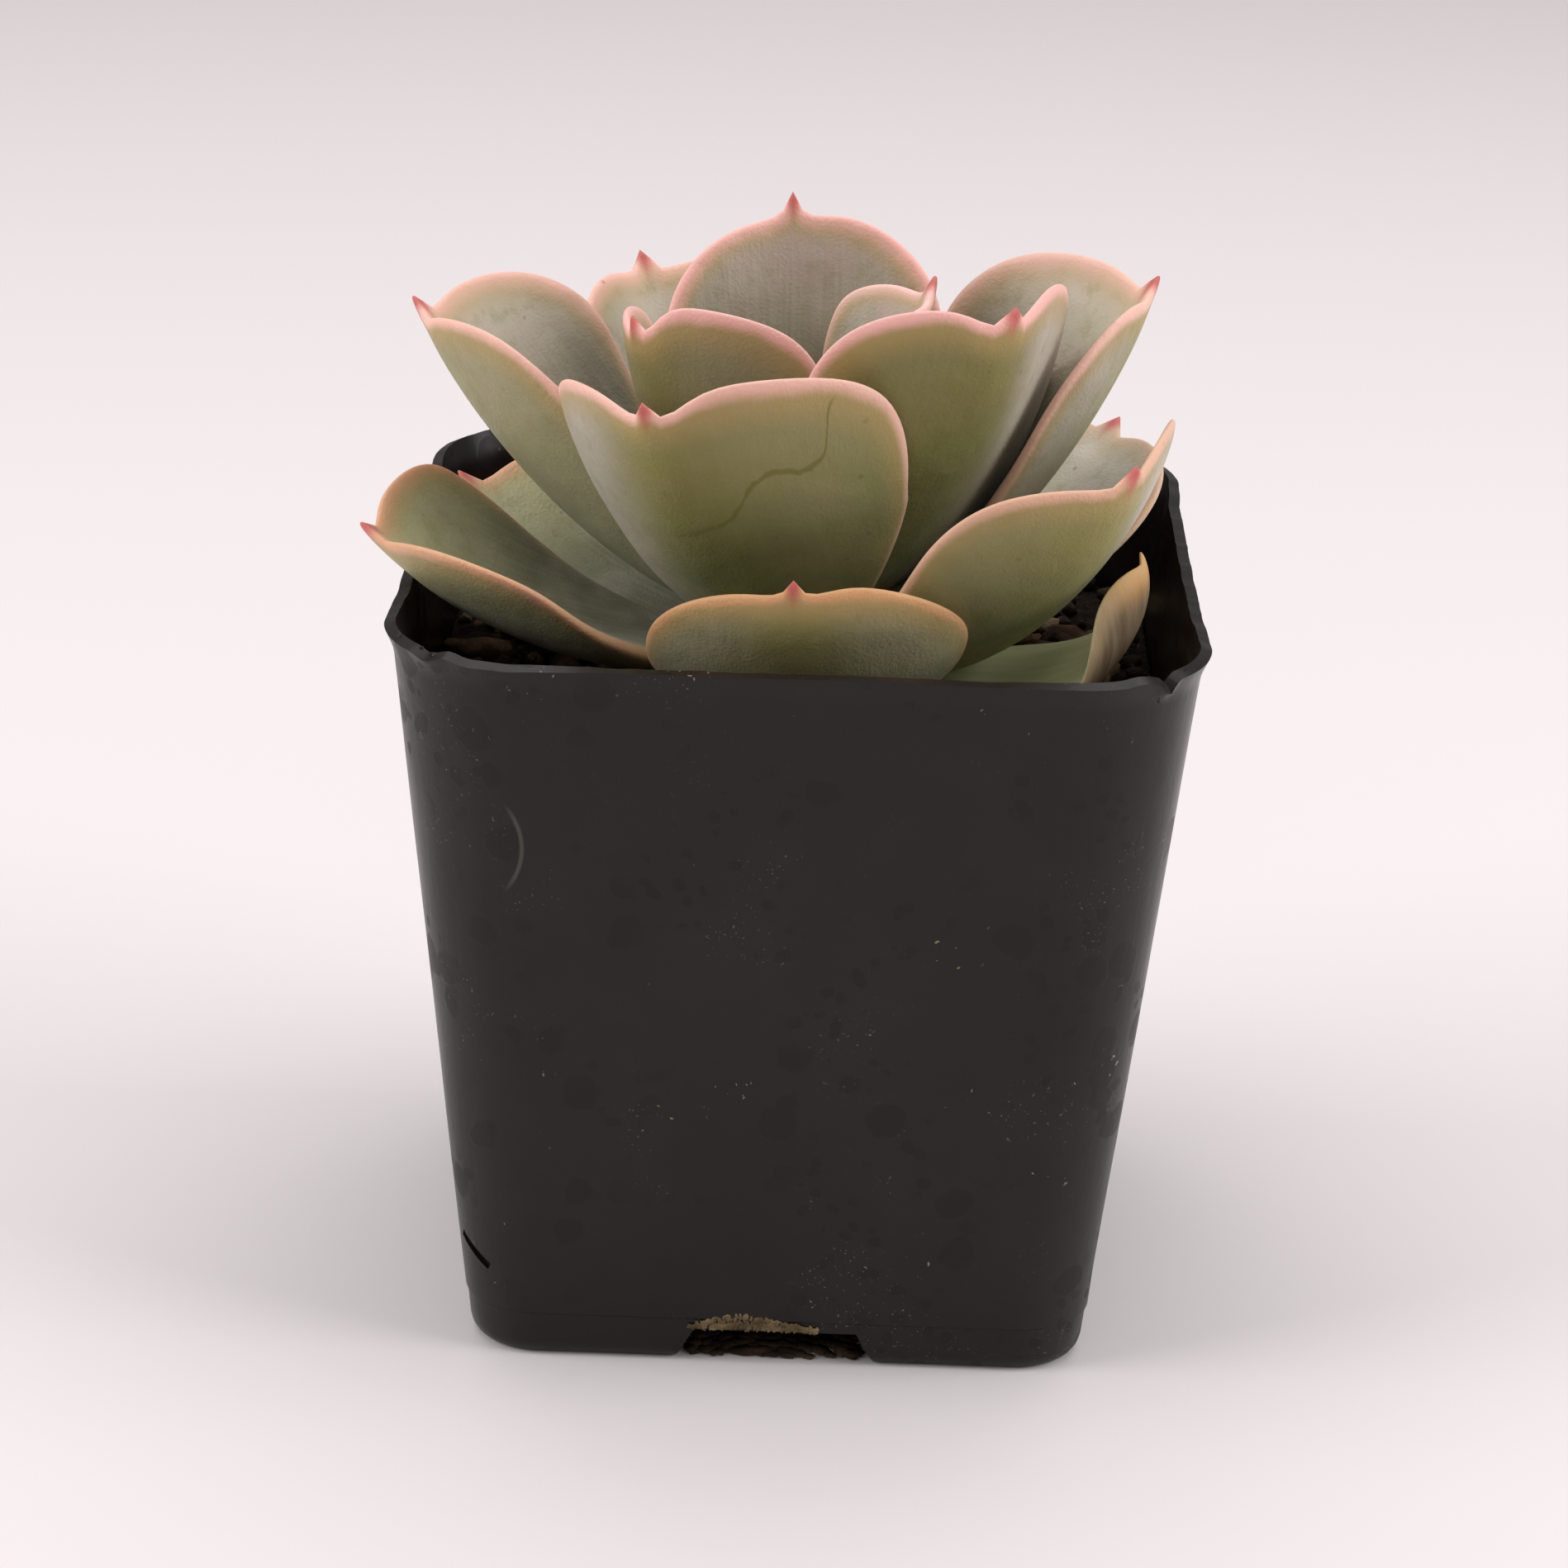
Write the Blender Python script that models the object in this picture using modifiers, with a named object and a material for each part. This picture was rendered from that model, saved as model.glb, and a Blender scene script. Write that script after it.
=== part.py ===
"""Potted succulent: a small rosette of thick, cupped leaves in a square plastic nursery pot.

Lengths are metres and angles are degrees. The origin is the middle of the pot's underside, +Z is up, and the
pot's front wall faces -Y.
"""

import math
from dataclasses import dataclass, replace

import bmesh
import bpy
import numpy as np

# Clearance left between pieces that touch
GAP = 0.0003

# Driving dimensions: the pot
POT_HEIGHT = 0.05225
POT_HALF_AT_RIM = 0.027
POT_HALF_AT_BASE = 0.0212
CORNER_RADIUS_AT_RIM = 0.0093
CORNER_RADIUS_AT_BASE = 0.005
WALL = 0.0008
FLOOR = 0.003
SKIRT_HEIGHT = 0.0034
SKIRT_STEP = 0.0002
LIP_HEIGHT = 0.0012
LIP_FLARE = 0.0003
CORNER_STEPS = 8

# Driving dimensions: the drainage recesses in the middle of each side of the base
RECESS_WIDTH = 0.0125
RECESS_HEIGHT = 0.002
RECESS_DEPTH = 0.008
DRAIN_WIDTH = 0.009
DRAIN_DEPTH = 0.004
DRAIN_FROM_WALL = 0.0022

# Driving dimensions: the potting mix and the stem
SOIL_TOP = 0.0414
STEM_TOP = 0.0512
STEM_RADIUS = 0.0021
ROOT_RADIUS = 0.0008
ROOT_DEPTH = 0.014
STEM_SEGMENTS = 20

# Driving dimensions: the leaves
LEAF_GAP = 0.0004
LEAF_FACES = 6
TIP_POINT = 0.0018
TIP_POINT_WIDTH = 0.0007
KEEL_ROUNDING = 0.001


@dataclass
class Leaf:
    """One leaf. Its left and right halves are as seen from the stem looking out along it, with its hollow side up."""

    turn: float  # about the stem: 0 points at -Y, 90 at +X
    foot: float  # height of the leaf's foot
    rise: tuple  # slope of the midrib at the foot and at the tip
    length: float
    width: float
    bow: float = 1.0  # under 1 the midrib turns upwards early, over 1 late
    reach: float = 0.0025  # distance of the foot from the stem's axis
    cup: tuple = (45, 45)  # how far each half curls up, right half first
    halves: tuple = (1, 1)  # width of each half, right half first
    keel: float = 20  # slope of the fold along the midrib, at the tip
    lean: float = 0  # turn of the blade about its midrib, at the tip
    shoulder: float = 0.8  # under 1 the outline has square shoulders
    wedge: float = 0.5  # how much narrower the foot end is
    thickness: float = 0.0024


LEAVES = {
    "bud_leaf_right": Leaf(100, 0.0530, (60, 75), 0.0182, 0.0155, reach=0.0012, cup=(50, 50)),
    "bud_leaf_left": Leaf(-62, 0.0520, (68, 80), 0.0135, 0.0090, reach=0.0018, cup=(40, 40)),
    "bud_leaf_front": Leaf(4, 0.0525, (72, 86), 0.0125, 0.0065, reach=0.0026, cup=(35, 35)),
    "inner_leaf_front": Leaf(
        -49, 0.0490, (45, 72), 0.0243, 0.0230, bow=0.7, cup=(55, 55), halves=(1, 0.95), shoulder=0.95
    ),
    "inner_leaf_back": Leaf(
        -172,
        0.0495,
        (55, 80),
        0.0252,
        0.0220,
        bow=0.7,
        reach=0.002,
        cup=(38, 38),
        halves=(0.98, 0.9),
        keel=8,
        shoulder=0.95,
    ),
    "inner_leaf_right": Leaf(
        45, 0.0485, (35, 70), 0.0290, 0.0290, bow=0.7, cup=(50, 52), halves=(0.8, 1.12)
    ),
    "inner_leaf_hidden": Leaf(140, 0.0476, (55, 68), 0.0160, 0.0080, bow=0.7, reach=0.0052, cup=(35, 35)),
    "middle_leaf_left": Leaf(
        -93, 0.0480, (5, 58), 0.0310, 0.0260, bow=0.5, reach=0.003, cup=(46, 62), halves=(0.9, 0.85)
    ),
    "middle_leaf_front": Leaf(
        -28, 0.0460, (27, 60), 0.0286, 0.0300, bow=0.65, cup=(38, 48), halves=(0.8, 1), lean=3, shoulder=0.9
    ),
    "middle_leaf_back": Leaf(
        -150, 0.0464, (14, 60), 0.0296, 0.0230, bow=0.65, reach=0.0028, cup=(45, 30), halves=(1, 0.72)
    ),
    "middle_leaf_right": Leaf(95, 0.0468, (10, 66), 0.0320, 0.0270, bow=0.45, cup=(50, 50), halves=(0.75, 1)),
    "low_leaf_left": Leaf(-69, 0.0455, (-4, 43), 0.0304, 0.0240, cup=(40, 33), lean=-6, wedge=0.65),
    "low_leaf_front": Leaf(
        -1, 0.0438, (-5, 75), 0.0260, 0.0225, bow=1.2, cup=(32, 32), keel=4, shoulder=1, wedge=0.5
    ),
    "low_leaf_right": Leaf(
        57, 0.0448, (0, 64), 0.0303, 0.0280, bow=0.9, cup=(50, 50), halves=(0.88, 1.1), wedge=0.6
    ),
    "low_leaf_back_right": Leaf(129, 0.0457, (3, 43), 0.0272, 0.0190, cup=(33, 40)),
    "low_leaf_back": Leaf(-174, 0.0444, (0, 45), 0.0250, 0.0180, cup=(35, 35)),
    "low_leaf_back_left": Leaf(-121, 0.0440, (-8, 38), 0.0248, 0.0210, cup=(45, 30)),
    "withered_leaf": Leaf(62, 0.0430, (-9, 74), 0.0277, 0.0155, bow=1.2, cup=(70, 40), halves=(1, 0.8)),
}

# Leaves press against each other near the stem. Each one here gives way to those it is listed with.
GIVES_WAY_TO = {
    "bud_leaf_front": ("bud_leaf_right", "bud_leaf_left"),
    "inner_leaf_back": ("bud_leaf_right", "inner_leaf_front"),
    "inner_leaf_front": ("inner_leaf_right",),
    "inner_leaf_right": ("middle_leaf_front",),
    "inner_leaf_hidden": ("inner_leaf_back", "inner_leaf_right", "middle_leaf_right"),
    "middle_leaf_left": ("middle_leaf_front",),
    "middle_leaf_back": ("middle_leaf_left",),
    "middle_leaf_right": ("inner_leaf_right",),
    "low_leaf_left": ("low_leaf_front",),
    "low_leaf_right": ("low_leaf_front",),
    "low_leaf_back_right": ("low_leaf_right", "middle_leaf_right"),
    "low_leaf_back_left": ("low_leaf_left",),
    "low_leaf_back": ("low_leaf_back_left", "low_leaf_back_right"),
    "withered_leaf": ("low_leaf_front", "low_leaf_right"),
}

# Colours (linear), and roughness
POT_BLACK = ((0.022, 0.021, 0.022), 0.45)
MIX_BROWN = ((0.055, 0.032, 0.018), 0.95)
STEM_BROWN = ((0.16, 0.10, 0.06), 0.85)
LEAF_GREEN = ((0.26, 0.30, 0.16), 0.5)
OLD_LEAF_GREEN = ((0.36, 0.33, 0.17), 0.6)


def clear_scene():
    for thing in list(bpy.data.objects):
        bpy.data.objects.remove(thing, do_unlink=True)


def new_collection(name):
    collection = bpy.data.collections.new(name)
    bpy.context.scene.collection.children.link(collection)
    return collection


def plain_material(name, look):
    colour, roughness = look
    material = bpy.data.materials.new(name)
    material.use_nodes = True
    shader = material.node_tree.nodes["Principled BSDF"]
    shader.inputs["Base Color"].default_value = (*colour, 1)
    shader.inputs["Roughness"].default_value = roughness
    shader.inputs["Metallic"].default_value = 0
    material.diffuse_color = (*colour, 1)
    return material


def object_from(shape, name, collection, look=None):
    """Turns a bmesh into an object: a piece with its own finish, or else a cutter."""
    mesh = bpy.data.meshes.new(name)
    shape.to_mesh(mesh)
    shape.free()
    thing = bpy.data.objects.new(name, mesh)
    collection.objects.link(thing)
    if look:
        mesh.materials.append(plain_material(name + " finish", look))
        mesh.shade_smooth()
        mesh.set_sharp_from_angle(angle=math.radians(40))
    else:
        thing.hide_render = True
        thing.display_type = "WIRE"
    return thing


def cut(thing, cutter):
    boolean = thing.modifiers.new("cut " + cutter.name, "BOOLEAN")
    boolean.operation = "DIFFERENCE"
    boolean.solver = "EXACT"
    boolean.object = cutter


def box(name, collection, size, middle):
    shape = bmesh.new()
    bmesh.ops.create_cube(shape, size=1)
    for corner in shape.verts:
        corner.co = [at * side + centre for at, side, centre in zip(corner.co, size, middle)]
    return object_from(shape, name, collection)


# The pot and the mix are lofts between rounded squares


def rounded_square(half, radius):
    """Corner arcs of a square of this half width, anticlockwise from +X."""
    points = []
    for quarter in range(4):
        turned = math.radians(90 * quarter)
        for step in range(CORNER_STEPS + 1):
            angle = math.radians(90 * step / CORNER_STEPS)
            x = half - radius + radius * math.cos(angle)
            y = half - radius + radius * math.sin(angle)
            points.append(
                (x * math.cos(turned) - y * math.sin(turned), x * math.sin(turned) + y * math.cos(turned))
            )
    return points


def loft(levels):
    """A closed solid through rounded squares, each given as (height, half width, corner radius)."""
    shape = bmesh.new()
    rings = [
        [shape.verts.new((x, y, height)) for x, y in rounded_square(half, radius)]
        for height, half, radius in levels
    ]
    for lower, upper in zip(rings, rings[1:]):
        for side in range(len(lower)):
            after = (side + 1) % len(lower)
            shape.faces.new((lower[side], lower[after], upper[after], upper[side]))
    shape.faces.new(rings[0][::-1])
    shape.faces.new(rings[-1])
    return shape


def pot_section(height, inset):
    """(height, half width, corner radius) of the pot's tapering outer wall, moved in by inset."""
    up = height / POT_HEIGHT
    half = POT_HALF_AT_BASE + (POT_HALF_AT_RIM - POT_HALF_AT_BASE) * up
    radius = CORNER_RADIUS_AT_BASE + (CORNER_RADIUS_AT_RIM - CORNER_RADIUS_AT_BASE) * up
    return height, half - inset, radius - inset


def make_pot(parts, cutters):
    """A thin tapering shell with a flared lip, a stepped skirt, and a drained recess at the foot of each side."""
    outside = [
        pot_section(0, SKIRT_STEP),
        pot_section(SKIRT_HEIGHT, SKIRT_STEP),
        pot_section(SKIRT_HEIGHT + SKIRT_STEP, 0),
        pot_section(POT_HEIGHT - LIP_HEIGHT, LIP_FLARE),
        pot_section(POT_HEIGHT - LIP_HEIGHT / 2, 0),
        pot_section(POT_HEIGHT, 0),
    ]
    pot = object_from(loft(outside), "pot", parts, POT_BLACK)
    inside = [
        pot_section(FLOOR, WALL),
        pot_section(POT_HEIGHT - LIP_HEIGHT, WALL + LIP_FLARE),
        pot_section(POT_HEIGHT - LIP_HEIGHT / 2, WALL),
        pot_section(POT_HEIGHT + WALL, WALL),
    ]
    cut(pot, object_from(loft(inside), "pot_hollow", cutters))
    for turned in range(4):
        across = turned % 2 == 0
        outward = -1 if turned < 2 else 1
        recess_at = outward * (POT_HALF_AT_BASE - RECESS_DEPTH / 2 + WALL)
        drain_at = outward * (POT_HALF_AT_BASE - DRAIN_FROM_WALL - DRAIN_DEPTH / 2)
        recess_size = (RECESS_WIDTH, RECESS_DEPTH + 2 * WALL, 2 * RECESS_HEIGHT)
        drain_size = (DRAIN_WIDTH, DRAIN_DEPTH, 2 * FLOOR)
        recess_middle = (0, recess_at, 0)
        drain_middle = (0, drain_at, FLOOR)
        if not across:
            recess_size = (recess_size[1], recess_size[0], recess_size[2])
            drain_size = (drain_size[1], drain_size[0], drain_size[2])
            recess_middle = (recess_at, 0, 0)
            drain_middle = (drain_at, 0, FLOOR)
        cut(pot, box(f"recess_{turned}", cutters, recess_size, recess_middle))
        cut(pot, box(f"drain_{turned}", cutters, drain_size, drain_middle))


def turned_stem(name, collection, grown, look=None):
    """The tapering root and stem as a turned profile, run from its top down."""
    profile = [
        (0, STEM_TOP + grown),
        (STEM_RADIUS * 0.7 + grown, STEM_TOP + grown),
        (STEM_RADIUS + grown, SOIL_TOP + 0.003),
        (STEM_RADIUS + grown, SOIL_TOP - 0.002),
        (ROOT_RADIUS + grown, SOIL_TOP - ROOT_DEPTH - grown),
        (0, SOIL_TOP - ROOT_DEPTH - grown),
    ]
    shape = bmesh.new()
    corners = [shape.verts.new((radius, 0, height)) for radius, height in profile]
    for upper, lower in zip(corners, corners[1:]):
        shape.edges.new((upper, lower))
    thing = object_from(shape, name, collection, look)
    screw = thing.modifiers.new("turned", "SCREW")
    screw.axis = "Z"
    screw.steps = STEM_SEGMENTS
    screw.render_steps = STEM_SEGMENTS
    screw.use_merge_vertices = True
    screw.merge_threshold = 0.00001
    return thing


def make_potting_mix(parts, cutters):
    """The block of mix that fills the pot to some 10 mm below its lip, with a pocket for the root."""
    levels = [pot_section(FLOOR + GAP, WALL + LIP_FLARE + GAP), pot_section(SOIL_TOP, WALL + LIP_FLARE + GAP)]
    mix = object_from(loft(levels), "potting_mix", parts, MIX_BROWN)
    cut(mix, turned_stem("root_pocket", cutters, GAP))


# The leaves


def outline(leaf, angle):
    """How far the leaf's edge lies to the side, at this angle round from its tip, before it is sized."""
    side = math.copysign(abs(math.sin(angle)) ** leaf.shoulder, math.sin(angle))
    return side * (1 - leaf.wedge * ((1 - math.cos(angle)) / 2) ** 1.2)


def widest(leaf):
    return max(outline(leaf, math.radians(degree)) for degree in range(181))


def midrib(leaf):
    """Tables of the midrib: share of its length, distance out, height and slope, found by small steps."""
    share = np.linspace(-0.05, 1.15, 121)
    foot, tip = np.radians(leaf.rise)
    slope = foot + (tip - foot) * np.clip(share, 0, None) ** leaf.bow
    step = (share[1] - share[0]) * leaf.length
    middle = (slope[1:] + slope[:-1]) / 2
    out = np.concatenate([[0], np.cumsum(np.cos(middle) * step)])
    up = np.concatenate([[0], np.cumsum(np.sin(middle) * step)])
    return share, out - np.interp(0, share, out), up - np.interp(0, share, up), slope


def leaf_point(leaf, rib, widest_edge, across, along, through):
    """Where a point of the unit sphere goes on the leaf.

    Across is -1 at the left edge and 1 at the right, along is -1 at the foot and 1 at the tip, and through is -1 on
    the outer face and 1 on the hollow one.
    """
    ring = min(math.hypot(across, along), 1)
    angle = math.atan2(across, along)
    side = leaf.width / 2 * outline(leaf, angle) / widest_edge * ring
    side *= leaf.halves[side > 0]
    far = leaf.length / 2 * (1 + math.cos(angle) * ring)
    if math.cos(angle) > 0:
        far += TIP_POINT * math.exp(-abs(side) / TIP_POINT_WIDTH) * ring**10
    share = far / leaf.length

    # The blade rises in a curve on each side of the midrib, and folds along it
    curl = math.radians(leaf.cup[side > 0]) / (leaf.width / 2) * (0.75 + 0.25 * min(2 * share, 1))
    keel = math.tan(math.radians(leaf.keel)) * min(share, 1.1)
    round_keel = math.hypot(side, KEEL_ROUNDING)
    outward = math.sin(curl * side) / curl
    upward = (1 - math.cos(curl * side)) / curl + keel * (round_keel - KEEL_ROUNDING)
    tilt = curl * side + math.atan(keel * side / round_keel)
    half_thickness = leaf.thickness / 2 * (1.1 - 0.35 * min(share, 1))
    skin = math.copysign(abs(through) ** 0.75, through) * half_thickness
    outward -= math.sin(tilt) * skin
    upward += math.cos(tilt) * skin

    # The blade is carried along the midrib
    distance, height, slope = (np.interp(share, rib[0], column) for column in rib[1:])
    turn = math.radians(leaf.turn)
    lean = math.radians(leaf.lean) * min(share, 1.2)
    ahead = np.array([math.sin(turn), -math.cos(turn), 0])
    level = np.array([math.cos(turn), math.sin(turn), 0])
    normal = -math.sin(slope) * ahead + math.cos(slope) * np.array([0, 0, 1])
    sideways = level * math.cos(lean) + normal * math.sin(lean)
    normal = normal * math.cos(lean) - level * math.sin(lean)
    spine = ahead * (leaf.reach + distance) + np.array([0, 0, leaf.foot + height])
    return spine + sideways * outward + normal * upward


def leaf_shape(leaf):
    """A cube of small faces, pushed out to a ball and then drawn into the leaf's shape."""
    rib = midrib(leaf)
    edge = widest(leaf)
    shape = bmesh.new()
    bmesh.ops.create_cube(shape, size=2)
    bmesh.ops.subdivide_edges(shape, edges=shape.edges, cuts=LEAF_FACES - 1, use_grid_fill=True)
    for corner in shape.verts:
        even = np.tan(np.array(corner.co) * math.pi / 4)
        ball = even / np.linalg.norm(even)
        corner.co = leaf_point(leaf, rib, edge, *ball)
    bmesh.ops.reverse_faces(shape, faces=shape.faces)
    return shape


def grown(leaf):
    """The same leaf, larger by the gap all round, with its curves kept."""
    wider = 1 + 2 * LEAF_GAP / leaf.width
    return replace(
        leaf,
        reach=leaf.reach - LEAF_GAP,
        length=leaf.length + 2 * LEAF_GAP,
        width=leaf.width * wider,
        cup=tuple(angle * wider for angle in leaf.cup),
        thickness=leaf.thickness + 2 * LEAF_GAP,
    )


def make_leaves(parts, cutters):
    made = {}
    for name, leaf in LEAVES.items():
        look = OLD_LEAF_GREEN if name == "withered_leaf" else LEAF_GREEN
        made[name] = object_from(leaf_shape(leaf), name, parts, look)
    pressing = sorted({other for others in GIVES_WAY_TO.values() for other in others})
    room = {name: object_from(leaf_shape(grown(LEAVES[name])), name + "_room", cutters) for name in pressing}
    for name, others in GIVES_WAY_TO.items():
        for other in others:
            cut(made[name], room[other])


def main():
    clear_scene()
    parts = new_collection("potted_succulent")
    cutters = new_collection("cutters")
    make_pot(parts, cutters)
    make_potting_mix(parts, cutters)
    turned_stem("stem", parts, 0, STEM_BROWN)
    make_leaves(parts, cutters)


main()
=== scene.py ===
# %% [markdown]
# # A potted succulent
#
# A small rosette succulent sits in a square plastic nursery pot. The solids of the model are loaded first,
# as a fixed frame in metres. Every piece made below takes the place of one of them, or lies on one, so each
# is modelled straight at its real place and size.

import math
import random

import bpy
import numpy as np
from mathutils import Matrix, Vector, noise


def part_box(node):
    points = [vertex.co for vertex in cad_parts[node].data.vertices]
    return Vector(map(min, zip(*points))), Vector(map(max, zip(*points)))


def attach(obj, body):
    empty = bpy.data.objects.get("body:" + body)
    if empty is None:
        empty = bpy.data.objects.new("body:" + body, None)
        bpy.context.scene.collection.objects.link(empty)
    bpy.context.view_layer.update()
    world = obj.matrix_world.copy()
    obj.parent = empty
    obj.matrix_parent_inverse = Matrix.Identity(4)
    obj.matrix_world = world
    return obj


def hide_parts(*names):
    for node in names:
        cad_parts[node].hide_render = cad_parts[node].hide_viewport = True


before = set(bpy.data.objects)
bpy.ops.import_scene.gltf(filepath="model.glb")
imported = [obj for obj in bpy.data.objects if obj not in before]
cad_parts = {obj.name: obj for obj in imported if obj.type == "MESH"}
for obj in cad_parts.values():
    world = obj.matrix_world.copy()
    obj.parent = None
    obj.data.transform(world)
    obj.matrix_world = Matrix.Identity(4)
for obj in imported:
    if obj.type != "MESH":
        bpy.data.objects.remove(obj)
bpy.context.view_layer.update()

MM = 0.001

# %% [markdown]
# ## Small helpers
#
# So each new piece starts with nothing selected, and ends as one mesh with its place in its points.


# %% Helpers for objects
def deselect_everything():
    if bpy.context.object and bpy.context.object.mode != "OBJECT":
        bpy.ops.object.mode_set(mode="OBJECT")
    bpy.ops.object.select_all(action="DESELECT")


def only(piece):
    """Makes this piece the one that operators act on."""
    deselect_everything()
    piece.select_set(True)
    bpy.context.view_layer.objects.active = piece


def named(name):
    """Names the object that an operator has just added, and its mesh."""
    piece = bpy.context.object
    piece.name = name
    piece.data.name = name
    return piece


def settle(piece):
    """Moves an object's place, turn and size into its mesh."""
    only(piece)
    bpy.ops.object.transform_apply(location=True, rotation=True, scale=True)


def apply_modifiers(piece):
    only(piece)
    for modifier in list(piece.modifiers):
        bpy.ops.object.modifier_apply(modifier=modifier.name)


def points_of(piece):
    flat = np.empty(len(piece.data.vertices) * 3)
    piece.data.vertices.foreach_get("co", flat)
    return flat.reshape(-1, 3)


def move_points(piece, points):
    piece.data.vertices.foreach_set("co", np.asarray(points, dtype=float).ravel())
    piece.data.update()


def shade_smooth(piece, angle=None):
    only(piece)
    if angle is None:
        bpy.ops.object.shade_smooth()
    else:
        bpy.ops.object.shade_smooth_by_angle(angle=math.radians(angle))


def finish_piece(piece, material, slot, *nodes):
    """Gives a piece its finish, and says which solids it stands for."""
    piece.data.materials.clear()
    piece.data.materials.append(material)
    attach(piece, "root")
    if nodes:
        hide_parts(*nodes)
    print(piece.name, len(piece.data.polygons), "faces")


# %% [markdown]
# ## Node helpers
#
# Each finish below is a short tree of nodes. These helpers add a node, set its inputs and join it up in one
# line, so that a finish reads from top to bottom.


# %% Helpers for materials
class Finish:
    """A material under construction."""

    def __init__(self, name, roughness=0.5):
        self.material = bpy.data.materials.new(name)
        self.material.use_nodes = True
        self.tree = self.material.node_tree
        self.shader = self.tree.nodes["Principled BSDF"]
        self.shader.inputs["Roughness"].default_value = roughness
        self.place = self.tree.nodes.new("ShaderNodeTexCoord").outputs["Object"]

    def put(self, socket, value):
        """Joins a socket to another, or sets its value."""
        if isinstance(value, bpy.types.NodeSocket):
            self.tree.links.new(value, socket)
        else:
            socket.default_value = value

    def attribute(self, name, output="Fac"):
        node = self.tree.nodes.new("ShaderNodeAttribute")
        node.attribute_name = name
        return node.outputs[output]

    def noise(self, scale, detail=3, roughness=0.5, place=None, output="Fac"):
        node = self.tree.nodes.new("ShaderNodeTexNoise")
        self.put(node.inputs["Vector"], place or self.place)
        node.inputs["Scale"].default_value = scale
        node.inputs["Detail"].default_value = detail
        node.inputs["Roughness"].default_value = roughness
        return node.outputs[output]

    def cells(self, scale, place=None):
        """How far each place is from the middle of its cell."""
        node = self.tree.nodes.new("ShaderNodeTexVoronoi")
        self.put(node.inputs["Vector"], place or self.place)
        node.inputs["Scale"].default_value = scale
        return node.outputs["Distance"]

    def stretched(self, scale, place=None):
        """Places to look a pattern up at, scaled along each axis on its own."""
        node = self.tree.nodes.new("ShaderNodeMapping")
        self.put(node.inputs["Vector"], place or self.place)
        node.inputs["Scale"].default_value = scale
        return node.outputs["Vector"]

    def math(self, operation, first, second=0.0):
        node = self.tree.nodes.new("ShaderNodeMath")
        node.operation = operation
        for socket, value in zip(node.inputs, (first, second)):
            self.put(socket, value)
        return node.outputs[0]

    def times(self, first, second):
        return self.math("MULTIPLY", first, second)

    def ramp(self, value, low, high, start=0.0, end=1.0, smooth=True):
        """Runs from start to end as value goes from low to high."""
        node = self.tree.nodes.new("ShaderNodeMapRange")
        node.interpolation_type = "SMOOTHSTEP" if smooth else "LINEAR"
        for socket, given in zip(node.inputs, (value, low, high, start, end)):
            self.put(socket, given)
        return node.outputs[0]

    def mix(self, share, first, second, blend="MIX"):
        node = self.tree.nodes.new("ShaderNodeMix")
        node.data_type = "RGBA"
        node.blend_type = blend
        self.put(node.inputs["Factor"], share)
        for name, value in (("A", first), ("B", second)):
            socket = [each for each in node.inputs if each.name == name and each.type == "RGBA"][0]
            self.put(socket, (*value, 1) if isinstance(value, tuple) else value)
        return [each for each in node.outputs if each.type == "RGBA"][0]

    def bump(self, height, strength, distance, under=None):
        node = self.tree.nodes.new("ShaderNodeBump")
        node.inputs["Strength"].default_value = strength
        node.inputs["Distance"].default_value = distance
        self.put(node.inputs["Height"], height)
        if under:
            self.put(node.inputs["Normal"], under)
        return node.outputs["Normal"]

    def set(self, **values):
        """Sets the shader's inputs: spaces in their names are written as underscores."""
        for name, value in values.items():
            socket = self.shader.inputs[name.replace("_", " ")]
            self.put(socket, (*value, 1) if isinstance(value, tuple) and socket.type == "RGBA" else value)


# %% [markdown]
# ## The camera
#
# A long lens looks down at the pot from in front, a third of a metre away. The camera is very slightly
# tilted to one side, as a hand-held one is.

# %% The camera
AIM = Vector((-0.00074, 0, 0.03458))
CAMERA_DISTANCE = 0.33035
CAMERA_ELEVATION = 21.13
CAMERA_AZIMUTH = 0.35
CAMERA_ROLL = 1.865
LENS = 106.9

camera_data = bpy.data.cameras.new("camera")
camera_data.lens = LENS
camera_data.clip_start = 0.01
camera = bpy.data.objects.new("camera", camera_data)
bpy.context.scene.collection.objects.link(camera)
camera.matrix_world = (
    Matrix.Rotation(math.radians(CAMERA_AZIMUTH), 4, "Z")
    @ Matrix.Translation(AIM)
    @ Matrix.Rotation(math.radians(90 - CAMERA_ELEVATION), 4, "X")
    @ Matrix.Rotation(math.radians(CAMERA_ROLL), 4, "Z")
    @ Matrix.Translation((0, 0, CAMERA_DISTANCE))
)
bpy.context.scene.camera = camera
bpy.context.scene.view_settings.view_transform = "Standard"
print("camera at", [round(value, 4) for value in camera.matrix_world.translation])

# %% [markdown]
# ## The floor and the light
#
# The pot stands on a pale, slightly pink sheet. It is one flat plane, which is large enough to fill the
# picture behind the pot from in front. The light is that of a white tent: a pale world lights it from all
# round, and wide lamps from above and both sides, with a weak one in front, so the pot's front and the
# leaves' outer faces are in soft shade.

# %% The floor
FLOOR_COLOUR = (0.80, 0.742, 0.75)
FLOOR_SIZE = 3.0

deselect_everything()
bpy.ops.mesh.primitive_plane_add(size=FLOOR_SIZE, location=(0, 0, 0))
floor = named("floor")
floor_finish = Finish("pale paper", roughness=0.75)
floor_finish.set(Base_Color=FLOOR_COLOUR, Specular_IOR_Level=0.2)
floor.data.materials.append(floor_finish.material)


# %% The lights
LIT_MIDDLE = Vector((0, 0, 0.05))
TENT_COLOUR = (1, 0.965, 0.97, 1)
TENT_STRENGTH = 0.24


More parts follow.
